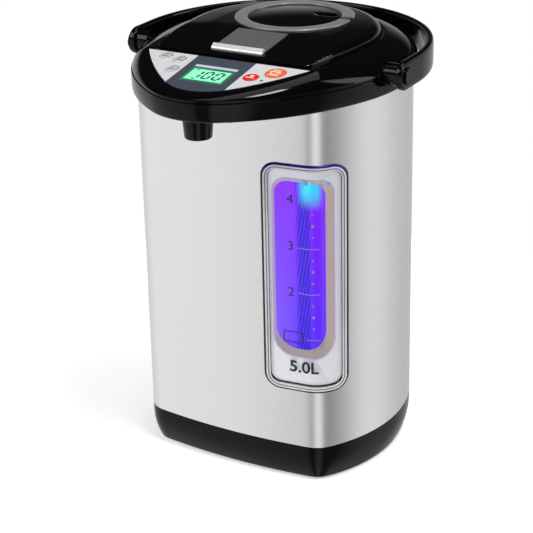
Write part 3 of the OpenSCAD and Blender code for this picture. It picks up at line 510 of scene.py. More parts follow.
def trough_finish():
    """Moulded trough with painted light: a white face and tan walls given a painted glow, and a
    floor whose glow is painted lamp light, violet to blue, with a painted cyan pool of lamp light
    at the top and painted slanting refraction streaks beside the tube.  Place is (width, height)."""
    f = Finish("gauge_trough_painted_glow")
    s, z, _ = place_of(f)
    depth = f.node("ShaderNodeAttribute", attribute_name="depth").outputs["Fac"]
    cloud = f.noise(f.coords((0.06, 0.06, 0.02)), 1.0, 2.0)
    # Painted lamp light: the floor glows violet to blue by height
    tall = f.math("ADD", f.span(z, 0, 1, 110, 248), f.span(cloud, -0.15, 0.15))
    c = f.blend(tall, rgb(0.115, 0.03, 0.95), rgb(0.26, 0.012, 0.96))
    # Painted light: a lilac brightening on the left, fading towards the top
    left = f.span(s, 1, 0, -22, -6)
    c = f.blend(f.math("MULTIPLY", left, f.span(z, 0.75, 0.2, 130, 240)), c, rgb(0.25, 0.13, 1.0))
    # Painted refraction: a darker band beside the level tube, crossed by darker slanting streaks
    band = f.math("MULTIPLY", f.span(s, 0, 1, -7.5, -4), f.span(s, 1, 0, 2.5, 5))
    slant = f.math("SINE", f.math("ADD", f.math("MULTIPLY", s, 2.6), f.math("MULTIPLY", z, -0.42)))
    painted_streak = f.span(slant, 0.0, 1.0, -0.3, 0.5)
    c = f.blend(f.math("MULTIPLY", band, 0.7), c, rgb(0.04, 0.0, 0.9))
    c = f.blend(f.math("MULTIPLY", band, painted_streak), c, rgb(0.004, 0.0, 0.42))
    # Painted pool of cyan lamp light at the top, beside the lamps
    lamp = f.math("MULTIPLY", f.span(z, 0, 1, 222, 240, "SMOOTHSTEP"),
                  f.math("MULTIPLY", f.span(s, 0, 1, -6, 0), f.span(s, 1, 0, 9, 14)))
    c = f.blend(lamp, c, rgb(0.05, 0.75, 1.0))
    lit = f.span(depth, 0, 1, 11.4, 12.2)
    wall = f.span(depth, 0, 1, 2.6, 3.4)
    face_paint = f.blend(wall, rgb(0.88, 0.88, 0.88), rgb(0.20, 0.18, 0.10))
    # Painted glow on the white face and the tan walls, which are no lamp
    face_painted_glow = f.blend(wall, rgb(0.18, 0.18, 0.17), rgb(0.34, 0.28, 0.22))
    paint = f.blend(lit, face_paint, rgb(0.02, 0.01, 0.08))
    # The floor's emission is its painted lamp glow
    glow = f.blend(lit, face_painted_glow, c)
    p = f.node("ShaderNodeBsdfPrincipled", {"Base Color": paint, "Roughness": f.span(cloud, 0.3, 0.42),
                                            "Emission Color": glow, "Emission Strength": 1.0})
    return f.done(p.outputs[0])


def frame_finish():
    """Clear window moulding, pale inside, with painted refraction: dark painted lines at its outer
    edge and a fainter inner line where the moulding bends the light, turning blue along the top as
    painted light from the gauge.  Place is (distance in from the outer edge, height)."""
    f = Finish("window_frame_moulding")
    d, z, _ = place_of(f)
    cloud = f.noise(f.coords((0.05, 0.05, 0.02)), 1.0, 3.0)
    inner_line = f.math("MULTIPLY", f.span(d, 0, 1, 2.8, 3.0), f.span(d, 1, 0, 3.7, 3.9))
    # Painted refraction: dark lines at the outer edge and, fainter, a little further in
    rim = f.math("MAXIMUM", f.span(d, 1, 0, 1.5, 1.8), f.math("MULTIPLY", inner_line, 0.75))
    # Painted light: the painted dark lines turn blue towards the top
    dark = f.blend(f.span(z, 0, 1, 252, 259), rgb(0.008, 0.008, 0.01), rgb(0.012, 0.003, 0.2))
    pale = f.blend(cloud, rgb(0.62, 0.62, 0.64), rgb(0.82, 0.82, 0.84))
    c = f.blend(rim, pale, dark)
    p = f.node("ShaderNodeBsdfPrincipled", {"Base Color": c, "Roughness": f.span(cloud, 0.05, 0.12),
                                            "IOR": 1.35})
    return f.done(p.outputs[0])


# ---- body ------------------------------------------------------------------------------

def rounded(hw, hh, r, ns=12, nc=16):
    """Points round a rounded rectangle, from its right side up and round."""
    t = np.linspace(0, 1, ns, endpoint=False)[:, None]
    a = np.linspace(0, pi / 2, nc, endpoint=False)
    k = [(hw - r, hh - r), (r - hw, hh - r), (r - hw, r - hh), (hw - r, r - hh)]
    sides = [((hw, r - hh), (hw, hh - r)), ((hw - r, hh), (r - hw, hh)), ((-hw, hh - r), (-hw, r - hh)),
             ((r - hw, -hh), (hw - r, -hh))]
    out = []
    for q in range(4):
        p0, p1 = map(np.array, sides[q])
        out.append(p0 + t * (p1 - p0))
        b = a + q * pi / 2
        out.append(np.array(k[q]) + r * np.column_stack([np.cos(b), np.sin(b)]))
    return np.vstack(out)


def squared(W, top, bottom, hw, hh, r, ns=12, nc=16):
    """Points of a rectangle, one for each point of the rounded one inside it."""
    t = np.linspace(0, 1, ns, endpoint=False)[:, None]
    u = np.linspace(0, 1, nc // 2, endpoint=False)[:, None]
    x, y = hw - r, hh - r
    stops = [(W, -y), (W, y), (W, top), (x, top), (-x, top), (-W, top), (-W, y), (-W, -y), (-W, -bottom),
             (-x, -bottom), (x, -bottom), (W, -bottom)]
    runs = [t, u, u, t, u, u, t, u, u, t, u, u]
    out = []
    for i, w in enumerate(runs):
        p0, p1 = np.array(stops[i], float), np.array(stops[(i + 1) % 12], float)
        out.append(p0 + w * (p1 - p0))
    return np.vstack(out)


def holed_wall(outline, to_length, zmid, W, top, bottom, hw, hh, r, lean, rings=6, step=2.2):
    """An upright wall round an outline with one rounded opening: a ring patch between the
    opening and a rectangle about it, and a plain grid for the rest.  lean gives how far the
    wall stands out at each height."""
    inner, outer = rounded(hw, hh, r), squared(W, top, bottom, hw, hh, r)
    t = np.linspace(0, 1, rings)[None, :, None]
    q = inner[:, None] * (1 - t) + outer[:, None] * t
    z = q[..., 1] + zmid
    xy = outline.at(to_length(q[..., 0]), lean(z))
    patch = sheet(np.concatenate([xy, z[..., None]], -1), True, False)
    rows = np.unique(np.round(outer[np.abs(outer[:, 0] - W) < 1e-6][:, 1], 9)) + zmid
    l0, l1 = to_length(np.array([W, -W]))
    if l1 < l0:
        l1 += outline.total
    l = np.linspace(l0, l1, int((l1 - l0) / step))
    along, out, up = np.broadcast_arrays(l[:, None], lean(rows), rows)
    rest = sheet(np.concatenate([outline.at(along, out), up[..., None]], -1))
    return [patch, rest]


CORNER = BODY_ARCS[1][0]
WIN_A = radians(-61)
WIN_T = np.array([-sin(WIN_A), cos(WIN_A)])
WIN_C = CORNER - 8 * WIN_T
WIN_MID = 171.5


def cross_to_length(s, g=0.0):
    """Arc length on the body's outline where the line across the corner at s meets it."""
    q = BODY.p + g * BODY.n
    keep = (BODY.l < BODY.total * 0.3) & (q[:, 0] > 5)
    c = (q[keep] - WIN_C) @ WIN_T
    return np.interp(s, c, BODY.l[keep])


def on_corner(s, z, g):
    """Points at (s, z) across the corner, g outside the body's outline."""
    s, z = floats(s, z)
    return np.concatenate([BODY.at(cross_to_length(s, g), np.full(s.shape, float(g))), z[..., None]], -1)


sleeve = holed_wall(BODY, cross_to_length, WIN_MID, 37, 140.5, 140.5, 30.9, 90.9, 10.4, lambda z: 0 * z)
piece("body_sleeve", sleeve, STEEL, stands_for=["outer_shell"], wall=0.8,
      inside=(0, 0, 170))


def base_lean(z):
    """Base wall: upright, then drawn in on a curve to its rounded bottom edge."""
    d = np.clip((25 - z) / 23, 0, 1)
    return -5 * d ** 2.1 - 0.35 * np.clip((z - 30.3) / 0.7, 0, 1)


def rear_length(s):
    return BODY.total / 2 + np.asarray(s)


base = holed_wall(BODY, rear_length, 17.5, 26, 13.5, 15.5, 20, 12, 1.5, base_lean, rings=4)
piece("base_skirt", base, BASE_BLACK, stands_for=["base_housing"], wall=2.4,
      inside=(0, 0, 17))


def window_frame():
    """The frame's cross-section, (distance in, stand-out), carried round the window."""
    sec = [(0.0, 0.0), (0.1, 0.7), (0.5, 1.2), (1.2, 1.4), (2.4, 1.35), (3.4, 1.25), (4.3, 1.1),
           (4.8, 0.95), (5.0, 0.75), (5.0, -1.9), (1.9, -1.9), (1.9, -0.02), (1.0, -0.02)]
    loops, marks = [], []
    for d, g in sec:
        q = rounded(32.5 - d, 92.5 - d, 12 - d, 40, 16)
        loops.append(on_corner(q[:, 0], q[:, 1] + WIN_MID, g))
        marks.append(np.column_stack([np.full(len(q), d if g > 0.02 else 0.0), q[:, 1] + WIN_MID]))
    grid = np.stack(loops, 1)
    return [sheet(grid, True, True)], np.stack(marks, 1).reshape(-1, 2)


parts, marks = window_frame()
piece("window_moulding", parts, frame_finish(), stands_for=["window_frame"], marks=marks)


def filled(hw, hh, r, g, zc=WIN_MID, sc=0.0, n=48, m=60):
    """A rounded rectangle filled with a grid whose columns shorten towards the round corners."""
    c = np.sin(np.linspace(-pi / 2, pi / 2, n)) * hw
    over = np.clip(np.abs(c) - (hw - r), 0, r)
    h = hh - r + np.sqrt(np.maximum(r * r - over * over, 0))
    v = np.linspace(-1, 1, m)
    return on_corner(c[:, None] + sc + 0 * v[None, :], zc + h[:, None] * v[None, :], g)


pane_out, pane_in = filled(27.4, 87.4, 7, 0.8), filled(27.4, 87.4, 7, -1.2)


def rim_of(a, b):
    """The wall that joins the edges of two matching grids."""
    return sheet(np.stack([edge_of(a), edge_of(b)], 1), True)


piece("window_glass", [sheet(pane_out), sheet(pane_in), rim_of(pane_out, pane_in)], PANE,
      stands_for=["window_pane"], angle=50)


FLOOR_BOX = (-22.6, 15.5, 108.4, 245.4, 17, 10.5)
FLOOR_DEPTH = 12.6


def two_radius_box(s0, s1, z0, z1, r_low, r_top):
    """Points round a box with one corner radius below and another above."""
    q = rounded(1, 1, 0.5, 40, 16)
    hw, hh = (s1 - s0) / 2, (z1 - z0) / 2
    r = np.where(q[:, 1] < 0, r_low, r_top)
    u = np.clip(np.abs(q) - 0.5, 0, None) / 0.5

    def stretch(v, u, h):
        return np.where(np.abs(v) <= 0.5, v / 0.5 * (h - r), np.sign(v) * (h - r + r * u))
    return np.column_stack([stretch(q[:, 0], u[:, 0], hw) + (s0 + s1) / 2,
                            stretch(q[:, 1], u[:, 1], hh) + (z0 + z1) / 2])


def trough():
    """White face behind the glass with flared walls, and the floor that carries the painted glow:
    loops in the window's coordinates at growing depth, closed by a filled floor.  The floor is a
    sheet of its own, so that the edge of its painted glow is crisp.  Gives (name, sheet, place,
    depth) for each."""
    stages = [((-27, 27, 85, 258, 7, 7), -1.5, 0.0), ((-25.0, 22.5, 106.5, 253, 17, 12), -1.5, 0.0),
              ((-24.4, 21.9, 107.0, 252.4, 16.5, 11.5), -2.2, 2.4),
              ((-24.2, 21.6, 107.3, 252.0, 16.5, 11.5), -3.0, 4.0),
              ((-22.9, 15.9, 108.2, 246.0, 17, 11), -11.8, 8.0), (FLOOR_BOX, -FLOOR_DEPTH, 8.0)]
    places = [two_radius_box(*box) for box, _, _ in stages]
    loops = [on_corner(q[:, 0], q[:, 1], g) for q, (_, g, _) in zip(places, stages)]
    depths = [np.full(len(q), d) for q, (_, _, d) in zip(places, stages)]
    lit = places[-1]
    middle = np.column_stack([np.full(len(lit), (FLOOR_BOX[0] + FLOOR_BOX[1]) / 2),
                              np.clip(lit[:, 1], 130, 225)])
    t = np.linspace(1, 0, 18)[None, :, None]
    q = lit[:, None] * t + middle[:, None] * (1 - t)
    floor = sheet(on_corner(q[..., 0], q[..., 1], -FLOOR_DEPTH), True)
    return [("gauge_face", sheet(np.stack(loops, 1), True), np.stack(places, 1).reshape(-1, 2),
             np.stack(depths, 1).ravel()),
            ("gauge_floor", floor, q.reshape(-1, 2), np.full(len(floor[0]), FLOOR_DEPTH))]


# The trough's finish: painted lamp glow and painted refraction streaks
GAUGE_PAINTED_GLOW = trough_finish()
far_inside = (-1000 * WIN_T[1], 1000 * WIN_T[0], WIN_MID)
for name, part, marks, depth in trough():
    piece(name, [part], GAUGE_PAINTED_GLOW, stands_for=["gauge_plate"] if name == "gauge_floor" else (),
          wall=0.6, inside=far_inside, angle=40, marks=marks, depth=depth)


def ink_on_corner(name, drawings, finish, g=0.86):
    """Printed marks: flat drawings (points, faces, place) laid on the glass and given a thickness."""
    parts = []
    for p, f, (s, z) in drawings:
        parts.append((on_corner(p[:, 0] + s, p[:, 1] + z, g), f))
    out = np.array([*(WIN_C * 0.5), 170.0])
    return piece(name, parts, finish, wall=0.05, inside=tuple(out), angle=60)


def line(s0, s1, dz=0.0, w=0.55, n=24):
    x = np.linspace(s0, s1, n)
    return stroke(np.column_stack([x, dz * np.sin(np.linspace(0, pi, n))]), w)


numerals = [(*lettering(t, 7.2), (-11.0, z)) for t, z in (("4", 237.0), ("3", 200.0), ("2", 162.5))]
ink_on_corner("gauge_numerals", numerals, BLACK_INK)
MARK_Z = (235.2, 198.8, 162.0, 124.0)
ticks = [(*line(-0.6 if k == 0 else -6, 10.8, -0.4), (0, z)) for k, z in enumerate(MARK_Z[:3])]
ticks.append((*line(0, 11, 0), (0, MARK_Z[3])))
dots = []
for z0, z1 in zip(MARK_Z, MARK_Z[1:]):
    for k, r in ((1, 0.75), (2, 1.15), (3, 0.75)):
        dots.append((*fan(disc((0, 0), r, 20), (0, 0)), (5.6, z0 + (z1 - z0) * k / 4)))
ink_on_corner("gauge_ticks", ticks + dots, TICK_INK)
box_path = rounded(7.0, 4.2, 0.9, 8, 6)
label = stroke(np.vstack([box_path, box_path[:1]]), 0.8)
ink_on_corner("gauge_label_box", [(*label, (-9.8, 125.0))], BLACK_INK)
ink_on_corner("capacity_mark", [(*lettering("5.0L", 9.8, 0.16), (-1.8, 100.3))], BLACK_INK)


# ---- head ------------------------------------------------------------------------------

NOTCH_Y = 83.0
KNUCKLE_X = (11.6, 30.4)


def turn_angles():
    """Directions round the head, with pairs close together where the hinge's notch steps."""
    phi = np.radians(np.arange(-90, 270, 0.5))
    steps = []
    for x in KNUCKLE_X:
        a = np.arctan2(NOTCH_Y, x)
        steps += [a - 2e-4, a + 2e-4, pi - a - 2e-4, pi - a + 2e-4]
    return np.sort(np.concatenate([phi, steps]))


def polar(r, phi, z):
    r, z = np.broadcast_arrays(r, z)
    return np.stack([r * np.cos(phi), r * np.sin(phi), z], -1)


def collar_parts():
    """Upright band under the parting line: a closed section from the sleeve out to the head."""
    phi = np.radians(np.arange(-90, 270, 0.75))
    rh, rb = head_reach(phi), BODY.reach(phi, 0.35)
    sec = [(rb, 306.0), (rh - 1.8, 306.0), (rh - 0.9, 306.25), (rh - 0.25, 306.9), (rh, 307.8),
           (rh, 312), (rh, 319.2), (rh - 0.2, 319.8), (rh - 0.7, 320.0), (rh - 2.2, 320.0),
           (rh - 2.2, 308.5), (rb, 308.5)]
    return [sheet(np.stack([polar(r, phi, z) for r, z in sec], 1), True, True)]


piece("head_collar", collar_parts(), BLACK, stands_for=["collar"])


def crown_edge(phi):
    """Reach of the crown's inner edge: a taut line round the lid's outline and the panel's,
    its corners eased by a running mean."""
    ahead = PANEL.p[:, 1] < -LID_FRONT
    q = np.vstack([LID.p + 2.6 * LID.n, (PANEL.p + 4 * PANEL.n)[ahead]])[::4]
    loop = q[convex_hull_2d([Vector(v) for v in q.tolist()])]
    t = np.linspace(0, 1, 80, endpoint=False)[None, :, None]
    q = (loop[:, None] * (1 - t) + np.roll(loop, -1, 0)[:, None] * t).reshape(-1, 2)
    even = np.linspace(0, 2 * pi, 720, endpoint=False)
    r = np.interp(even, np.arctan2(q[:, 1], q[:, 0]), np.hypot(q[:, 0], q[:, 1]), period=2 * pi)
    for _ in range(2):
        r = sum(np.roll(r, k) for k in range(-14, 15)) / 29
    beside_panel = np.sin(phi) * PANEL.reach(phi) < -LID_FRONT
    least = np.maximum(LID.reach(phi, 2.0), np.where(beside_panel, PANEL.reach(phi, 2.0), 0))
    return np.maximum(np.interp(phi, even, r, period=2 * pi), least)


def top_cover_parts():
    """Crown, sloping deck with the panel's recess, rim and well wall, as rings about the axis."""
    phi = turn_angles()
    c, s = np.cos(phi), np.sin(phi)
    front = s < 0
    ro = head_reach(phi, -1.0)
    well = LID.reach(phi, 0.0)
    rear_line = np.where(front, PANEL_REAR / np.maximum(-s, 1e-6), 1e9)
    inner = np.minimum(crown_edge(phi), ro - 3)
    zi = deck_height(inner * s)
    zo = np.full_like(phi, 320.0)
    foot, bulge = 322.0, 0.62
    rings = [polar(ro - 2.0, phi, zo), polar(ro - 0.25, phi, zo), polar(ro, phi, zo + 0.4)]
    for k in np.linspace(0, 1, 15):
        a = k * pi / 2
        out, rise = bulge * cos(a) + (1 - bulge) * (1 - k), bulge * sin(a) + (1 - bulge) * k
        rings.append(polar(inner + (ro - inner) * out, phi, foot + (zi - foot) * rise))
    e0 = np.maximum(np.minimum(PANEL.reach(phi, 0.2), inner - 0.3), well + 0.3)
    e1 = np.minimum(rear_line, e0 - 0.1)
    drop = 1.25 * np.clip((e0 - e1 - 0.1) / 0.6, 0, 1)
    rings.append(polar(e0 + 0.02, phi, deck_height((e0 + 0.02) * s)))
    rings.append(polar(e0 - 0.04, phi, deck_height(e0 * s) - drop))
    rings.append(polar(e1 + 0.04, phi, deck_height(e1 * s) - drop))
    rings.append(polar(e1 - 0.04, phi, deck_height(e1 * s)))
    rear = np.maximum(s, 1e-6)
    x_at = np.abs(NOTCH_Y / rear * c)
    knuckle = (s > 0) & (x_at > KNUCKLE_X[0]) & (x_at < KNUCKLE_X[1])
    relief = (s > 0) & (x_at < KNUCKLE_X[1])
    rim = np.where(knuckle, 97.8 / rear, np.where(relief, 87.2 / rear, well))
    rim = np.minimum(rim, ro - 2.5)
    low = np.where(knuckle, 320.5, np.where(relief, 330.2, 326.0))
    # Rings that would fall in the notch are held out at its edge, at the crown's height there
    share = np.clip((ro - (rim + 0.3)) / np.maximum(ro - inner, 1e-6), 0, 1)
    edge_z = foot + (zi - foot) * np.sqrt(np.clip(1 - (1 - share) ** 2, 0, 1))
    for i in range(3, len(rings)):
        x, y, z = rings[i].T
        r = np.maximum(np.hypot(x, y), rim + 0.3)
        rings[i] = polar(r, phi, np.where(relief & (r <= rim + 0.31), edge_z, z))
    top = rings[-1][..., 2]
    rings.append(polar(rim, phi, top - 0.15))
    rings.append(polar(rim, phi, np.minimum(low, top - 0.3)))
    rings.append(polar(well, phi, np.minimum(low, top - 0.3)))
    rings.append(polar(well, phi, np.full_like(phi, 316.0)))
    return [sheet(np.stack(rings, 1), True)]


piece("head_cover", top_cover_parts(), BLACK, stands_for=["top_cover"], wall=2.0,
      inside=(0, 0, 250), angle=28)


# Each key's middle on the deck and its diameter
KEYS = {"timer": ((-48.5, -85.5), 10.5), "boil": ((-35.0, -88.5), 10.5),
        "temperature": ((-31.5, -104.5), 10.5), "unlock": ((32.5, -101.0), 11.5),
        "dispense": ((46.5, -89.5), 15.5)}


def panel_parts():
    """The plate's flat face, with round key holes and the display's opening, as the triangles
    of its outline that lie inside it and outside the openings."""
    p = PANEL.p[:-1]
    keep = p[p[:, 1] < -PANEL_REAR][::9]
    keep = keep[np.argsort(np.arctan2(keep[:, 1], keep[:, 0]))]
    xs = np.linspace(40, 80, 400)
    gap = np.abs(PANEL.reach(np.arctan2(-PANEL_REAR, xs)) - np.hypot(xs, PANEL_REAR))
    xr = xs[np.argmin(gap)]
    outer = np.vstack([[[-xr, -PANEL_REAR]], keep, [[xr, -PANEL_REAR]]])
    loops = [outer] + [disc(c, d / 2 + 0.3, 40) for c, d in KEYS.values()]
    loops.append(np.array([(-18, -118.5), (18, -118.5), (18, -96.5), (-18, -96.5)], float))
    verts, edges, n = [], [], 0
    for q in loops:
        verts += [Vector(v) for v in q.tolist()]
        edges += [(n + i, n + (i + 1) % len(q)) for i in range(len(q))]
        n += len(q)
    v, _, faces, _, _, _ = delaunay_2d_cdt(verts, edges, [], 0, 1e-5)
    v = np.array([list(q) for q in v])
    f = np.array([q for q in faces if len(q) == 3])
    c = v[f].mean(1)

    def inside(loop):
        x0, y0 = loop.T
        x1, y1 = np.roll(loop, -1, 0).T
        px, py = c[:, :1], c[:, 1:]
        rise = np.where(y1 == y0, 1e-9, y1 - y0)
        hit = ((y0 > py) != (y1 > py)) & (px < (x1 - x0) * (py - y0) / rise + x0)
        return hit.sum(1) % 2 == 1
    ok = inside(loops[0])
    for q in loops[1:]:
        ok &= ~inside(q)
    return v, f[ok]


flat, tri = panel_parts()
piece("panel_plate", [(on_deck(flat[:, 0], flat[:, 1], 0.12), tri)], panel_finish(),
      stands_for=["control_panel"], wall=1.2, inside=(0, -90, 200), angle=30)
glass = np.array([(-17.9, -118.4), (17.9, -118.4), (17.9, -96.6), (-17.9, -96.6)])
q = fillet(glass, 0.6, 4)
top = on_deck(q[:, 0], q[:, 1], 0.0)
low = on_deck(q[:, 0], q[:, 1], -1.7)
side = sheet(np.stack([top, low], 1), True)
piece("display_window", [side, fan(top, top.mean(0)), fan(low, low.mean(0))], display_finish(),
      stands_for=["display_lens"])


def ink_on_deck(name, drawings, finish, lift, body="pot"):
    parts = [(on_deck(p[:, 0] + x, p[:, 1] + y, lift), f) for p, f, (x, y) in drawings]
    return piece(name, parts, finish, body=body, wall=0.05, inside=(0, -90, 200),
                 angle=60)


SEGMENTS = {"a": ((-1, 2), (1, 2)), "b": ((1, 2), (1, 0)), "c": ((1, 0), (1, -2)), "d": ((-1, -2), (1, -2)),
            "e": ((-1, 0), (-1, -2)), "f": ((-1, 2), (-1, 0)), "g": ((-1, 0), (1, 0))}


def digit(segments, h=11.0, slant=0.12, w=1.75):
    """A seven-segment figure: each lit segment is a six-sided bar."""
    out = []
    k = h / 4
    for name in segments:
        p, q = (np.array(v, float) * (k * 0.92, k) for v in SEGMENTS[name])
        d = (q - p) / np.linalg.norm(q - p)
        n = np.array([-d[1], d[0]])
        p, q = p + d * 0.25, q - d * 0.25
        six = np.array([p, p + d * w / 2 + n * w / 2, q - d * w / 2 + n * w / 2, q, q - d * w / 2 - n * w / 2,
                        p + d * w / 2 - n * w / 2])
        six[:, 0] += six[:, 1] * slant
        out.append((six, np.array([[0, 1, 2, 3], [0, 3, 4, 5]])))
    return out


figures = []
for x, seg in ((-8.4, "bc"), (0.2, "abcdef"), (8.8, "abcdef")):
    figures += [(p, f, (x, -107.0)) for p, f in digit(seg)]
figures.append((*stroke([(-13.4, -100.4), (-10.2, -100.4)], 0.9), (0, 0)))
figures.append((*stroke([(-9.6, -114.2), (-7.0, -114.2)], 1.0), (0, 0)))
ink_on_deck("display_figures", figures, LCD_INK, 0.08)

spot = (*fan(disc((0, 0), 1.15, 24), (0, 0)), (42.6, -103.4))
ink_on_deck("panel_sensor_dot", [spot], BLACK_INK, 0.2)


def key(name, finish):
    """A round key: slightly domed top, rounded edge, straight stem and the flange that keeps it in."""
    (x, y), d = KEYS[name]
    r = d / 2
    prof = [(0.02, 0.9), (r * 0.5, 0.86), (r * 0.8, 0.76), (r - 0.5, 0.62), (r - 0.12, 0.42),
            (r, 0.1), (r, -3.8), (r + 1, -3.8), (r + 1, -5.0), (0.02, -5.0)]
    a = np.linspace(0, 2 * pi, 64, endpoint=False)[:, None]
    rr, zz = np.array(prof).T
    g = on_deck(x + rr * np.cos(a), y + rr * np.sin(a), zz + 0 * a)
    top, low = g[:, 0], g[:, -1]
    return piece(name + "_key_cap", [sheet(g, True), fan(top, top.mean(0)), fan(low, low.mean(0))], finish,
                 body=name + "_key", stands_for=["key_" + name], angle=40)


for name in ("timer", "boil", "temperature"):
    key(name, SILVER_KEY)
key("unlock", RED)
key("dispense", ORANGE)


def icons(name, ink, lines, lift=0.95):
    (x, y), _ = KEYS[name]
    ink_on_deck(name + "_icon", [(*stroke(p, w), (x, y)) for p, w in lines], ink, lift, name + "_key")


THIN = 0.35
curl = (ring_arc((0.4, 0), 4.3, -60, 110), THIN)
wave = np.linspace(-1, 1, 12)
ripples = [(np.column_stack([wave * 1.6, h + 0.5 * np.sin(wave * 4)]), THIN) for h in (1.4, 0.2)]
plumes = [(np.column_stack([x + 0.4 * np.sin(wave * 3), 3.1 + wave * 1.7]), 0.8) for x in (-2.2, 0, 2.2)]
icons("timer", GREY_INK, [curl, (ring_arc((0, 0.6), 1.5, 0, 360), THIN), ([(0, 0.6), (0, 1.7)], THIN),
                          ([(-2.6, -2.2), (2.2, -2.2)], 0.7)])
icons("boil", GREY_INK, [curl, (ring_arc((0, 0.8), 1.5, 60, 400), THIN), ([(0, 0.8), (0, 2.6)], THIN),
                         ([(-2.4, -2.2), (2.2, -2.2)], 0.7)])
icons("temperature", GREY_INK, [curl, *ripples, ([(-2.4, -2.2), (2.2, -2.2)], 0.7)])
icons("unlock", WHITE_INK, [(ring_arc((0.6, 1.2), 1.1, 0, 360), 0.9), ([(-3.2, -1.6), (3.0, -1.6)], 0.9)])
icons("dispense", WHITE_INK, plumes + [(ring_arc((0, 0.6), 3.9, 180, 360), 0.9),
                                       ([(-3.9, 0.6), (3.9, 0.6)], 0.9), ([(-4.2, -4.9), (4.2, -4.9)], 1.0)])

nozzle = fillet([(5, 287), (10.2, 287), (12, 308.2), (12, 310), (4.5, 310), (4.5, 304), (5, 304)],
                [0.6, 1.2, 0.3, 0.3, 0.2, 0.2, 0.2], 4)
piece("spout_nozzle", [revolve(nozzle, (0, -122), 96)], BLACK, stands_for=["nozzle"],
      angle=40)


# ---- lid -------------------------------------------------------------------------------

LID_Y = 6
VENT_Y = 26
LATCH_TILT = radians(7.5)
LATCH_AT = (-62.5, 336.8)


def lid_height(x, y, inset):
    """Lid's top: a rounded shoulder inside its edge, a long slope up from the front and an
    almost flat crown, taken as the smooth least of the three."""
    s = np.clip(inset / 8.6, 0, 1)
    shoulder = 335 + 6 * np.sqrt(np.clip(1 - (1 - s) ** 2, 0, 1)) + np.clip((inset - 8.6) / 16, 0, 1)
    slope = 335 + (y + 74.9) * (6.1 / 47.5)
    r = np.hypot(x, y - VENT_Y)
    crown = 342.05 - 0.00004 * np.clip(r - 47, 0, None) ** 2
    k = 2.2
    m = np.stack([shoulder, slope, crown])
    low = m.min(0)
    return np.maximum(low - np.log(np.exp(-(m - low) * k).sum(0)) / k, 335.0 + 0 * low)


def lid_parts():
    """The lid's skin: columns of x, rows from front to rear edge, pressed in for the lever and
    under the trim, with its upright edge and drawn-in lower edge."""
    hw = LID.p[:, 0].max() - 0.6
    xs = hw * np.sin(np.linspace(-pi / 2, pi / 2, 121))
    cuts = [-22.03, -21.97, 21.97, 22.03]
    xs = np.sort(np.concatenate([xs[np.min(np.abs(xs[:, None] - np.array([-22, 22])), axis=1) > 0.4], cuts]))
    yf, yr = LID.span(xs, g=-0.6)
    pocket = (-66.1, -22.1)
    r1 = np.linspace(0, 1, 14)[:-1]
    mid = np.concatenate([[pocket[0] - 0.04, pocket[0] + 0.04], np.linspace(pocket[0] + 2, pocket[1] - 2, 20),
                          [pocket[1] - 0.04, pocket[1] + 0.04]])
    t3 = np.sin(np.linspace(0, pi / 2, 60)[1:])
    y = np.concatenate([yf[:, None] + (np.clip(mid[0], yf, yr) - yf)[:, None] * r1[None],
                        np.clip(np.broadcast_to(mid, (len(xs), len(mid))), yf[:, None], yr[:, None]),
                        np.clip(mid[-1], yf, yr)[:, None] * (1 - t3) + yr[:, None] * t3], 1)
    x = np.broadcast_to(xs[:, None], y.shape)
    phi = np.arctan2(y - LID_Y, x)
    inset = LID.reach(phi, -0.6, (0, LID_Y)) - np.hypot(x, y - LID_Y)
    near = np.minimum(inset, y - np.broadcast_to(yf[:, None], y.shape))
    z = lid_height(x, y, np.clip(near, 0, None))
    press = (np.abs(x) < 22) & (y > pocket[0]) & (y < pocket[1])
    drop = np.where(y > -42, 5.6, np.where(y < -62.3, 1.7, 3.2))
    z = np.where(press, LATCH_AT[1] + (y - LATCH_AT[0]) * tan(LATCH_TILT) - drop, z)
    z = z - 3.0 * np.clip((43 - np.hypot(x, y - VENT_Y)) / 1.5, 0, 1)
    top = np.stack([x, y, z], -1)
    edge = edge_of(top)
    q = edge[:, :2] - np.array([0, LID_Y])
    a, r = np.arctan2(q[:, 1], q[:, 0]), np.hypot(q[:, 0], q[:, 1])
    rows = [edge]
    for d, zz in ((0, 334.2), (0, 333.4), (-0.6, 331.8), (-1.5, 330.2)):
        rows.append(np.column_stack([(r + d) * np.cos(a), (r + d) * np.sin(a) + LID_Y + d,
                                     np.full(len(a), zz)]))
    return [sheet(top), sheet(np.stack(rows, 1), True)]


piece("lid_skin", lid_parts(), BLACK, body="lid", stands_for=["lid_shell"], wall=1.8,
      inside=(0, LID_Y, 250), angle=24)

knuckle = fillet([(76, 333), (90, 333), (95, 331), (95, 321), (86, 321), (80, 325), (76, 325)],
                 [0.3, 3, 4, 4, 4, 1, 0.3], 6)
parts = []
for x0, x1 in ((-30, -12), (12, 30)):
    parts += bar(knuckle, x0, x1)
piece("lid_knuckles", parts, BLACK, body="lid", angle=40)


def trim_ring():
    """The open ring on the lid: a bevelled section carried from 14 to 364 degrees."""
    sec = fillet([(37, 340.9), (47, 340.9), (47, 342.4), (46.3, 343), (37.9, 343), (37, 342.5)],
                 [0.1, 0.1, 0.3, 0.35, 0.35, 0.3], 4)
    a = np.radians(np.linspace(14, 364, 180))[:, None]
    r, z = sec.T
    g = np.stack([r * np.cos(a), VENT_Y + r * np.sin(a), np.broadcast_to(z, (180, len(z)))], -1)
    return [sheet(g, False, True), fan(g[0], g[0].mean(0)), fan(g[-1], g[-1].mean(0))]


piece("lid_trim_ring", trim_ring(), TRIM, body="lid", stands_for=["lid_trim"], angle=30)


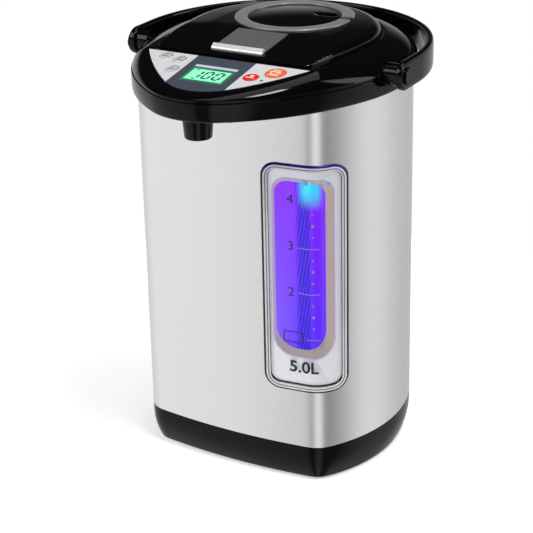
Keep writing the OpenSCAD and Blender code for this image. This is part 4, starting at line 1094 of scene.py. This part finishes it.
def vent_cap_parts():
    """Domed disc with an oval hole: a ring patch from the hole to the rim, and its walls."""
    n, dome, r_top, r_side, z_low = 144, 320, 36.2, 36.6, 339.2
    middle = np.array([0, VENT_Y])
    a = np.linspace(0, 2 * pi, n, endpoint=False)
    c = np.array([25 * cos(radians(30)), 25 * sin(radians(30))])
    turn = radians(15)
    flat = np.sign(np.cos(a)) * np.minimum(1, np.abs(np.cos(a)) * 3)
    e = np.column_stack([5.4 * np.cos(a) + 3.6 * flat, 5.4 * np.sin(a)])
    hole = c + e @ np.array([[cos(turn), sin(turn)], [-sin(turn), cos(turn)]])
    # Rim points seen from the hole's middle, so that the rings stay apart
    b = a + turn
    d = np.column_stack([np.cos(b), np.sin(b)])
    k = d @ c
    rim = c + (-k + np.sqrt(k * k - c @ c + r_top ** 2))[:, None] * d
    t = (np.linspace(0, 1, 22) ** 1.4)[None, :, None]
    q = hole[:, None] * (1 - t) + rim[:, None] * t
    dip = 0.35 * np.exp(-((q - hole[:, None]) ** 2).sum(-1) / 0.12)
    z = 343.6 - dome + np.sqrt(dome ** 2 - (q ** 2).sum(-1)) - dip
    top = np.concatenate([q + middle, z[..., None]], -1)
    out = rim * (r_side / r_top) + middle
    rows = [np.column_stack([out, top[:, -1, 2] - 0.35]), np.column_stack([out, np.full(n, z_low)]),
            np.column_stack([hole + middle, np.full(n, z_low)])]
    return [sheet(np.concatenate([top, np.stack(rows, 1)], 1), True, True)]


piece("vent_disc", vent_cap_parts(), BLACK, body="lid", stands_for=["vent_cap"], angle=30)


def on_latch(x, y, z):
    """Places (x, y, z) of the lever's own frame in the pot's."""
    x, y, z = floats(x, y, z)
    c, s = cos(LATCH_TILT), sin(LATCH_TILT)
    return np.stack([x, LATCH_AT[0] + y * c - z * s, LATCH_AT[1] + y * s + z * c], -1)


def lever_parts(*profiles):
    return [(on_latch(*p.T), f) for profile in profiles for p, f in bar(profile, -21.5, 21.5)]


# The latch lever: a thin plate and its barrel, and the raised round-edged lip
plate = fillet([(0.5, -1.9), (38.6, -1.9), (38.9, -0.2), (38.6, 0.2), (2.0, 0.2), (0.5, 0.2)],
               [0.2, 0.2, 0.2, 0.3, 0.2, 0.2], 4)
barrel = disc((36.5, -2.4), 2.4, 28)
lip = fillet([(-3.0, -1.6), (2.5, -1.6), (2.5, 0.6), (2.2, 2.7), (0.6, 3.0), (-2.4, 1.2), (-3.0, 0.4)],
             [0.3, 0.3, 0.5, 0.8, 1.0, 0.8, 0.6], 5)
piece("latch_plate", lever_parts(plate, barrel), LEVER, body="lever", stands_for=["latch_lever"],
      angle=34)
piece("latch_lip", lever_parts(lip), BRIGHT_EDGE, body="lever", angle=34)


# ---- handle ----------------------------------------------------------------------------

def handle_parts():
    """The lift-up handle: a rounded upright section carried round the rear, its height falling
    to nothing as a half circle at each pivot."""
    mid, tall, middle_z = 116.0, 11.0, 321
    end = np.concatenate([-33 + 11 * (1 - np.cos(np.linspace(0, pi / 2, 16))), np.linspace(-22, 0, 8)[1:-1]])
    half = np.where(end < -22, np.sqrt(np.clip(tall ** 2 - (end + 22) ** 2, 0.0004, None)), tall)
    a = np.linspace(0, pi, 120)
    right = np.column_stack([np.full(len(end), mid), end])
    arc = np.column_stack([mid * np.cos(a), mid * np.sin(a)])
    left = right[::-1] * [-1, 1]
    path = np.vstack([right, arc, left])
    out = np.vstack([np.tile([1.0, 0.0], (len(right), 1)), np.column_stack([np.cos(a), np.sin(a)]),
                     np.tile([-1.0, 0.0], (len(left), 1))])
    h = np.concatenate([half, np.full(len(a), tall), half[::-1]])
    b = np.linspace(0, 2 * pi, 40, endpoint=False)
    cx = np.sign(np.cos(b)) * np.abs(np.cos(b)) ** 0.45
    cy = np.sign(np.sin(b)) * np.abs(np.sin(b)) ** 0.35
    g = np.concatenate([path[:, None] + out[:, None] * (cx * 3.0)[None, :, None],
                        middle_z + h[:, None, None] * cy[None, :, None]], -1)
    return [sheet(g, False, True), fan(g[0], g[0].mean(0)), fan(g[-1], g[-1].mean(0))]


piece("carry_strap", handle_parts(), BLACK, body="carry_handle", stands_for=["handle"],
      angle=40)


# ---- inside the pot --------------------------------------------------------------------

vessel = [(0.5, 70), (84, 70), (88, 71.5), (90, 76), (90, 302.6), (94, 302.8), (94, 304), (89.6, 304),
          (89.2, 303.6), (89.2, 76.4), (87.2, 72.6), (84, 71.2), (0.5, 71.2)]
piece("vessel_skin", [revolve(vessel, (0, 7), 160)], INNER, stands_for=["vessel"],
      angle=40)

# ---- finishes of the nodes that keep their own shape -------------------------------------

KEEP = {
    "bottom_cover": COVER_BLACK, "feet": RUBBER, "bottom_screws": BRIGHT, "level_tube": TUBE,
    "tube_seals": SILICONE, "led_boards": LAMP_BOARD, "leds": lamp_finish(), "neck_ring": WHITE,
    "vessel_gasket": SILICONE, "head_screws": BRIGHT, "display_module": GREY_PCB,
    "control_board": BOARD, "outlet_pipe": HOSE, "riser_hose": HOSE, "suction_hose": HOSE,
    "pump_housing": DARK, "impeller": WHITE, "pump_motor": MOTOR, "heater": ALUMINIUM,
    "thermostats": BRASS, "power_board": BOARD, "power_inlet": DARK, "inlet_pins": BRASS,
    "lid_liner": WHITE, "lid_plate": INNER, "lid_gasket": SILICONE, "steam_tube": WHITE,
    "lid_pin": BRIGHT, "latch_pin": BRIGHT, "latch_spring": BRIGHT, "latch_hook": DARK,
    "handle_pivots": BLACK,
}
for name, finish in KEEP.items():
    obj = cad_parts[name]
    for s in obj.material_slots:
        s.material = finish
    if not obj.material_slots:
        obj.data.materials.append(finish)

# ---- floor, light and camera --------------------------------------------------------------

bpy.ops.mesh.primitive_circle_add(vertices=96, radius=0.42, fill_type="NGON", location=(0, 0, 0))
floor = bpy.context.object
floor.name = "studio_floor"
f = Finish("pale_floor")
grain = f.noise(f.coords(), 0.4, 2.0)
paint = f.blend(grain, rgb(0.88, 0.88, 0.88), rgb(0.9, 0.9, 0.9))
p = f.node("ShaderNodeBsdfPrincipled", {"Base Color": paint, "Roughness": f.span(grain, 0.55, 0.65),
                                        "Emission Color": rgb(1, 1, 1), "Emission Strength": 0.5})
# Shiny surfaces see through the floor to the walls, as if the table were small
glossy = f.node("ShaderNodeLightPath").outputs["Is Glossy Ray"]
through = f.node("ShaderNodeBsdfTransparent").outputs[0]
pale = f.node("ShaderNodeMixShader", {0: glossy, 1: p.outputs[0], 2: through})
floor.data.materials.append(f.done(pale.outputs[0]))

world = bpy.data.worlds.new("studio")
bpy.context.scene.world = world
world.use_nodes = True
tree = world.node_tree
sky = tree.nodes["Background"]

# A ring of white walls with darker gaps between them, under a dark ceiling
aim = add_node(tree, "ShaderNodeTexCoord").outputs["Generated"]
ax, ay, az = add_node(tree, "ShaderNodeSeparateXYZ", {0: aim}).outputs
height = add_node(tree, "ShaderNodeMapRange", {"Value": az, "From Min": 0.03, "From Max": 0.30,
                                               "To Min": 1.2, "To Max": 0.03},
                  interpolation_type="SMOOTHSTEP").outputs[0]
turn = add_node(tree, "ShaderNodeMath", {0: ay, 1: ax}, operation="ARCTAN2").outputs[0]
turn = add_node(tree, "ShaderNodeMapRange", {"Value": turn, "From Min": -pi, "From Max": pi}).outputs[0]
walls = add_node(tree, "ShaderNodeValToRGB", {"Fac": turn})
band = walls.color_ramp
# Each stop is a direction in degrees and a brightness
STOPS = ((-180, 0.7), (-150, 0.84), (-112, 0.80), (-101, 0.70), (-92, 0.18), (-77, 0.18), (-67, 0.98),
         (-48, 0.98), (-37, 0.2), (-5, 0.15), (8, 0.6), (18, 0.82), (34, 0.8), (60, 0.5), (110, 0.5),
         (150, 0.66), (180, 0.7))
for a, _ in STOPS[1:-1]:
    band.elements.new((a + 180) / 360)
for stop, (_, v) in zip(band.elements, STOPS):
    stop.color = rgb(v, v, v)
gaps = walls.outputs["Color"]
lit = add_node(tree, "ShaderNodeMath", {0: height, 1: gaps}, operation="MULTIPLY").outputs[0]
seen = add_node(tree, "ShaderNodeLightPath").outputs["Is Camera Ray"]
level = add_node(tree, "ShaderNodeMix", {0: seen, 2: lit, 3: 1.0}, data_type="FLOAT").outputs[0]
tree.links.new(level, sky.inputs["Strength"])
sky.inputs["Color"].default_value = rgb(1, 1, 1)


def softbox(name, place, aim, size, power):
    """A rectangular light that looks at a point."""
    data = bpy.data.lights.new(name, "AREA")
    data.shape, data.size, data.size_y, data.energy = "RECTANGLE", size[0], size[1], power
    obj = bpy.data.objects.new(name, data)
    obj.location = place
    obj.rotation_euler = (Vector(aim) - Vector(place)).to_track_quat("-Z", "Y").to_euler()
    bpy.context.scene.collection.objects.link(obj)
    return obj


softbox("key_light", (-1.2, -1.3, 1.7), (0, 0, 0.2), (1.2, 1.2), 22)
softbox("side_light", (1.6, 0.8, 1.1), (0, 0, 0.2), (0.6, 1.4), 10)
softbox("spot_box", (0.82, -0.40, 2.0), (0, -0.05, 0.3), (0.4, 0.4), 18)
softbox("top_light", (0.2, 0.3, 2.2), (0, 0, 0.2), (1.6, 1.6), 15)

yaw, pitch, roll = 0.5206668, 0.3716665, -0.0222789
fwd = Vector((-sin(yaw) * cos(pitch), cos(yaw) * cos(pitch), -sin(pitch)))
right = Vector((cos(yaw), sin(yaw), 0))
up = right.cross(fwd)
right, up = cos(roll) * right + sin(roll) * up, -sin(roll) * right + cos(roll) * up
frame_size, focal, centre_x, centre_y = 533, 1600, 263.05, 204.80
data = bpy.data.cameras.new("camera")
data.sensor_width, data.lens = 36, focal / frame_size * 36
data.shift_x = (frame_size / 2 - centre_x) / frame_size
data.shift_y = (centre_y - frame_size / 2) / frame_size
data.clip_start, data.clip_end = 0.01, 50
camera = bpy.data.objects.new("camera", data)
bpy.context.scene.collection.objects.link(camera)
m = Matrix((right, up, -fwd)).transposed().to_4x4()
m.translation = Vector((0.582968, -1.047178, 0.659438))
camera.matrix_world = m
bpy.context.scene.camera = camera
bpy.context.scene.view_settings.view_transform = "Standard"

bpy.context.view_layer.update()
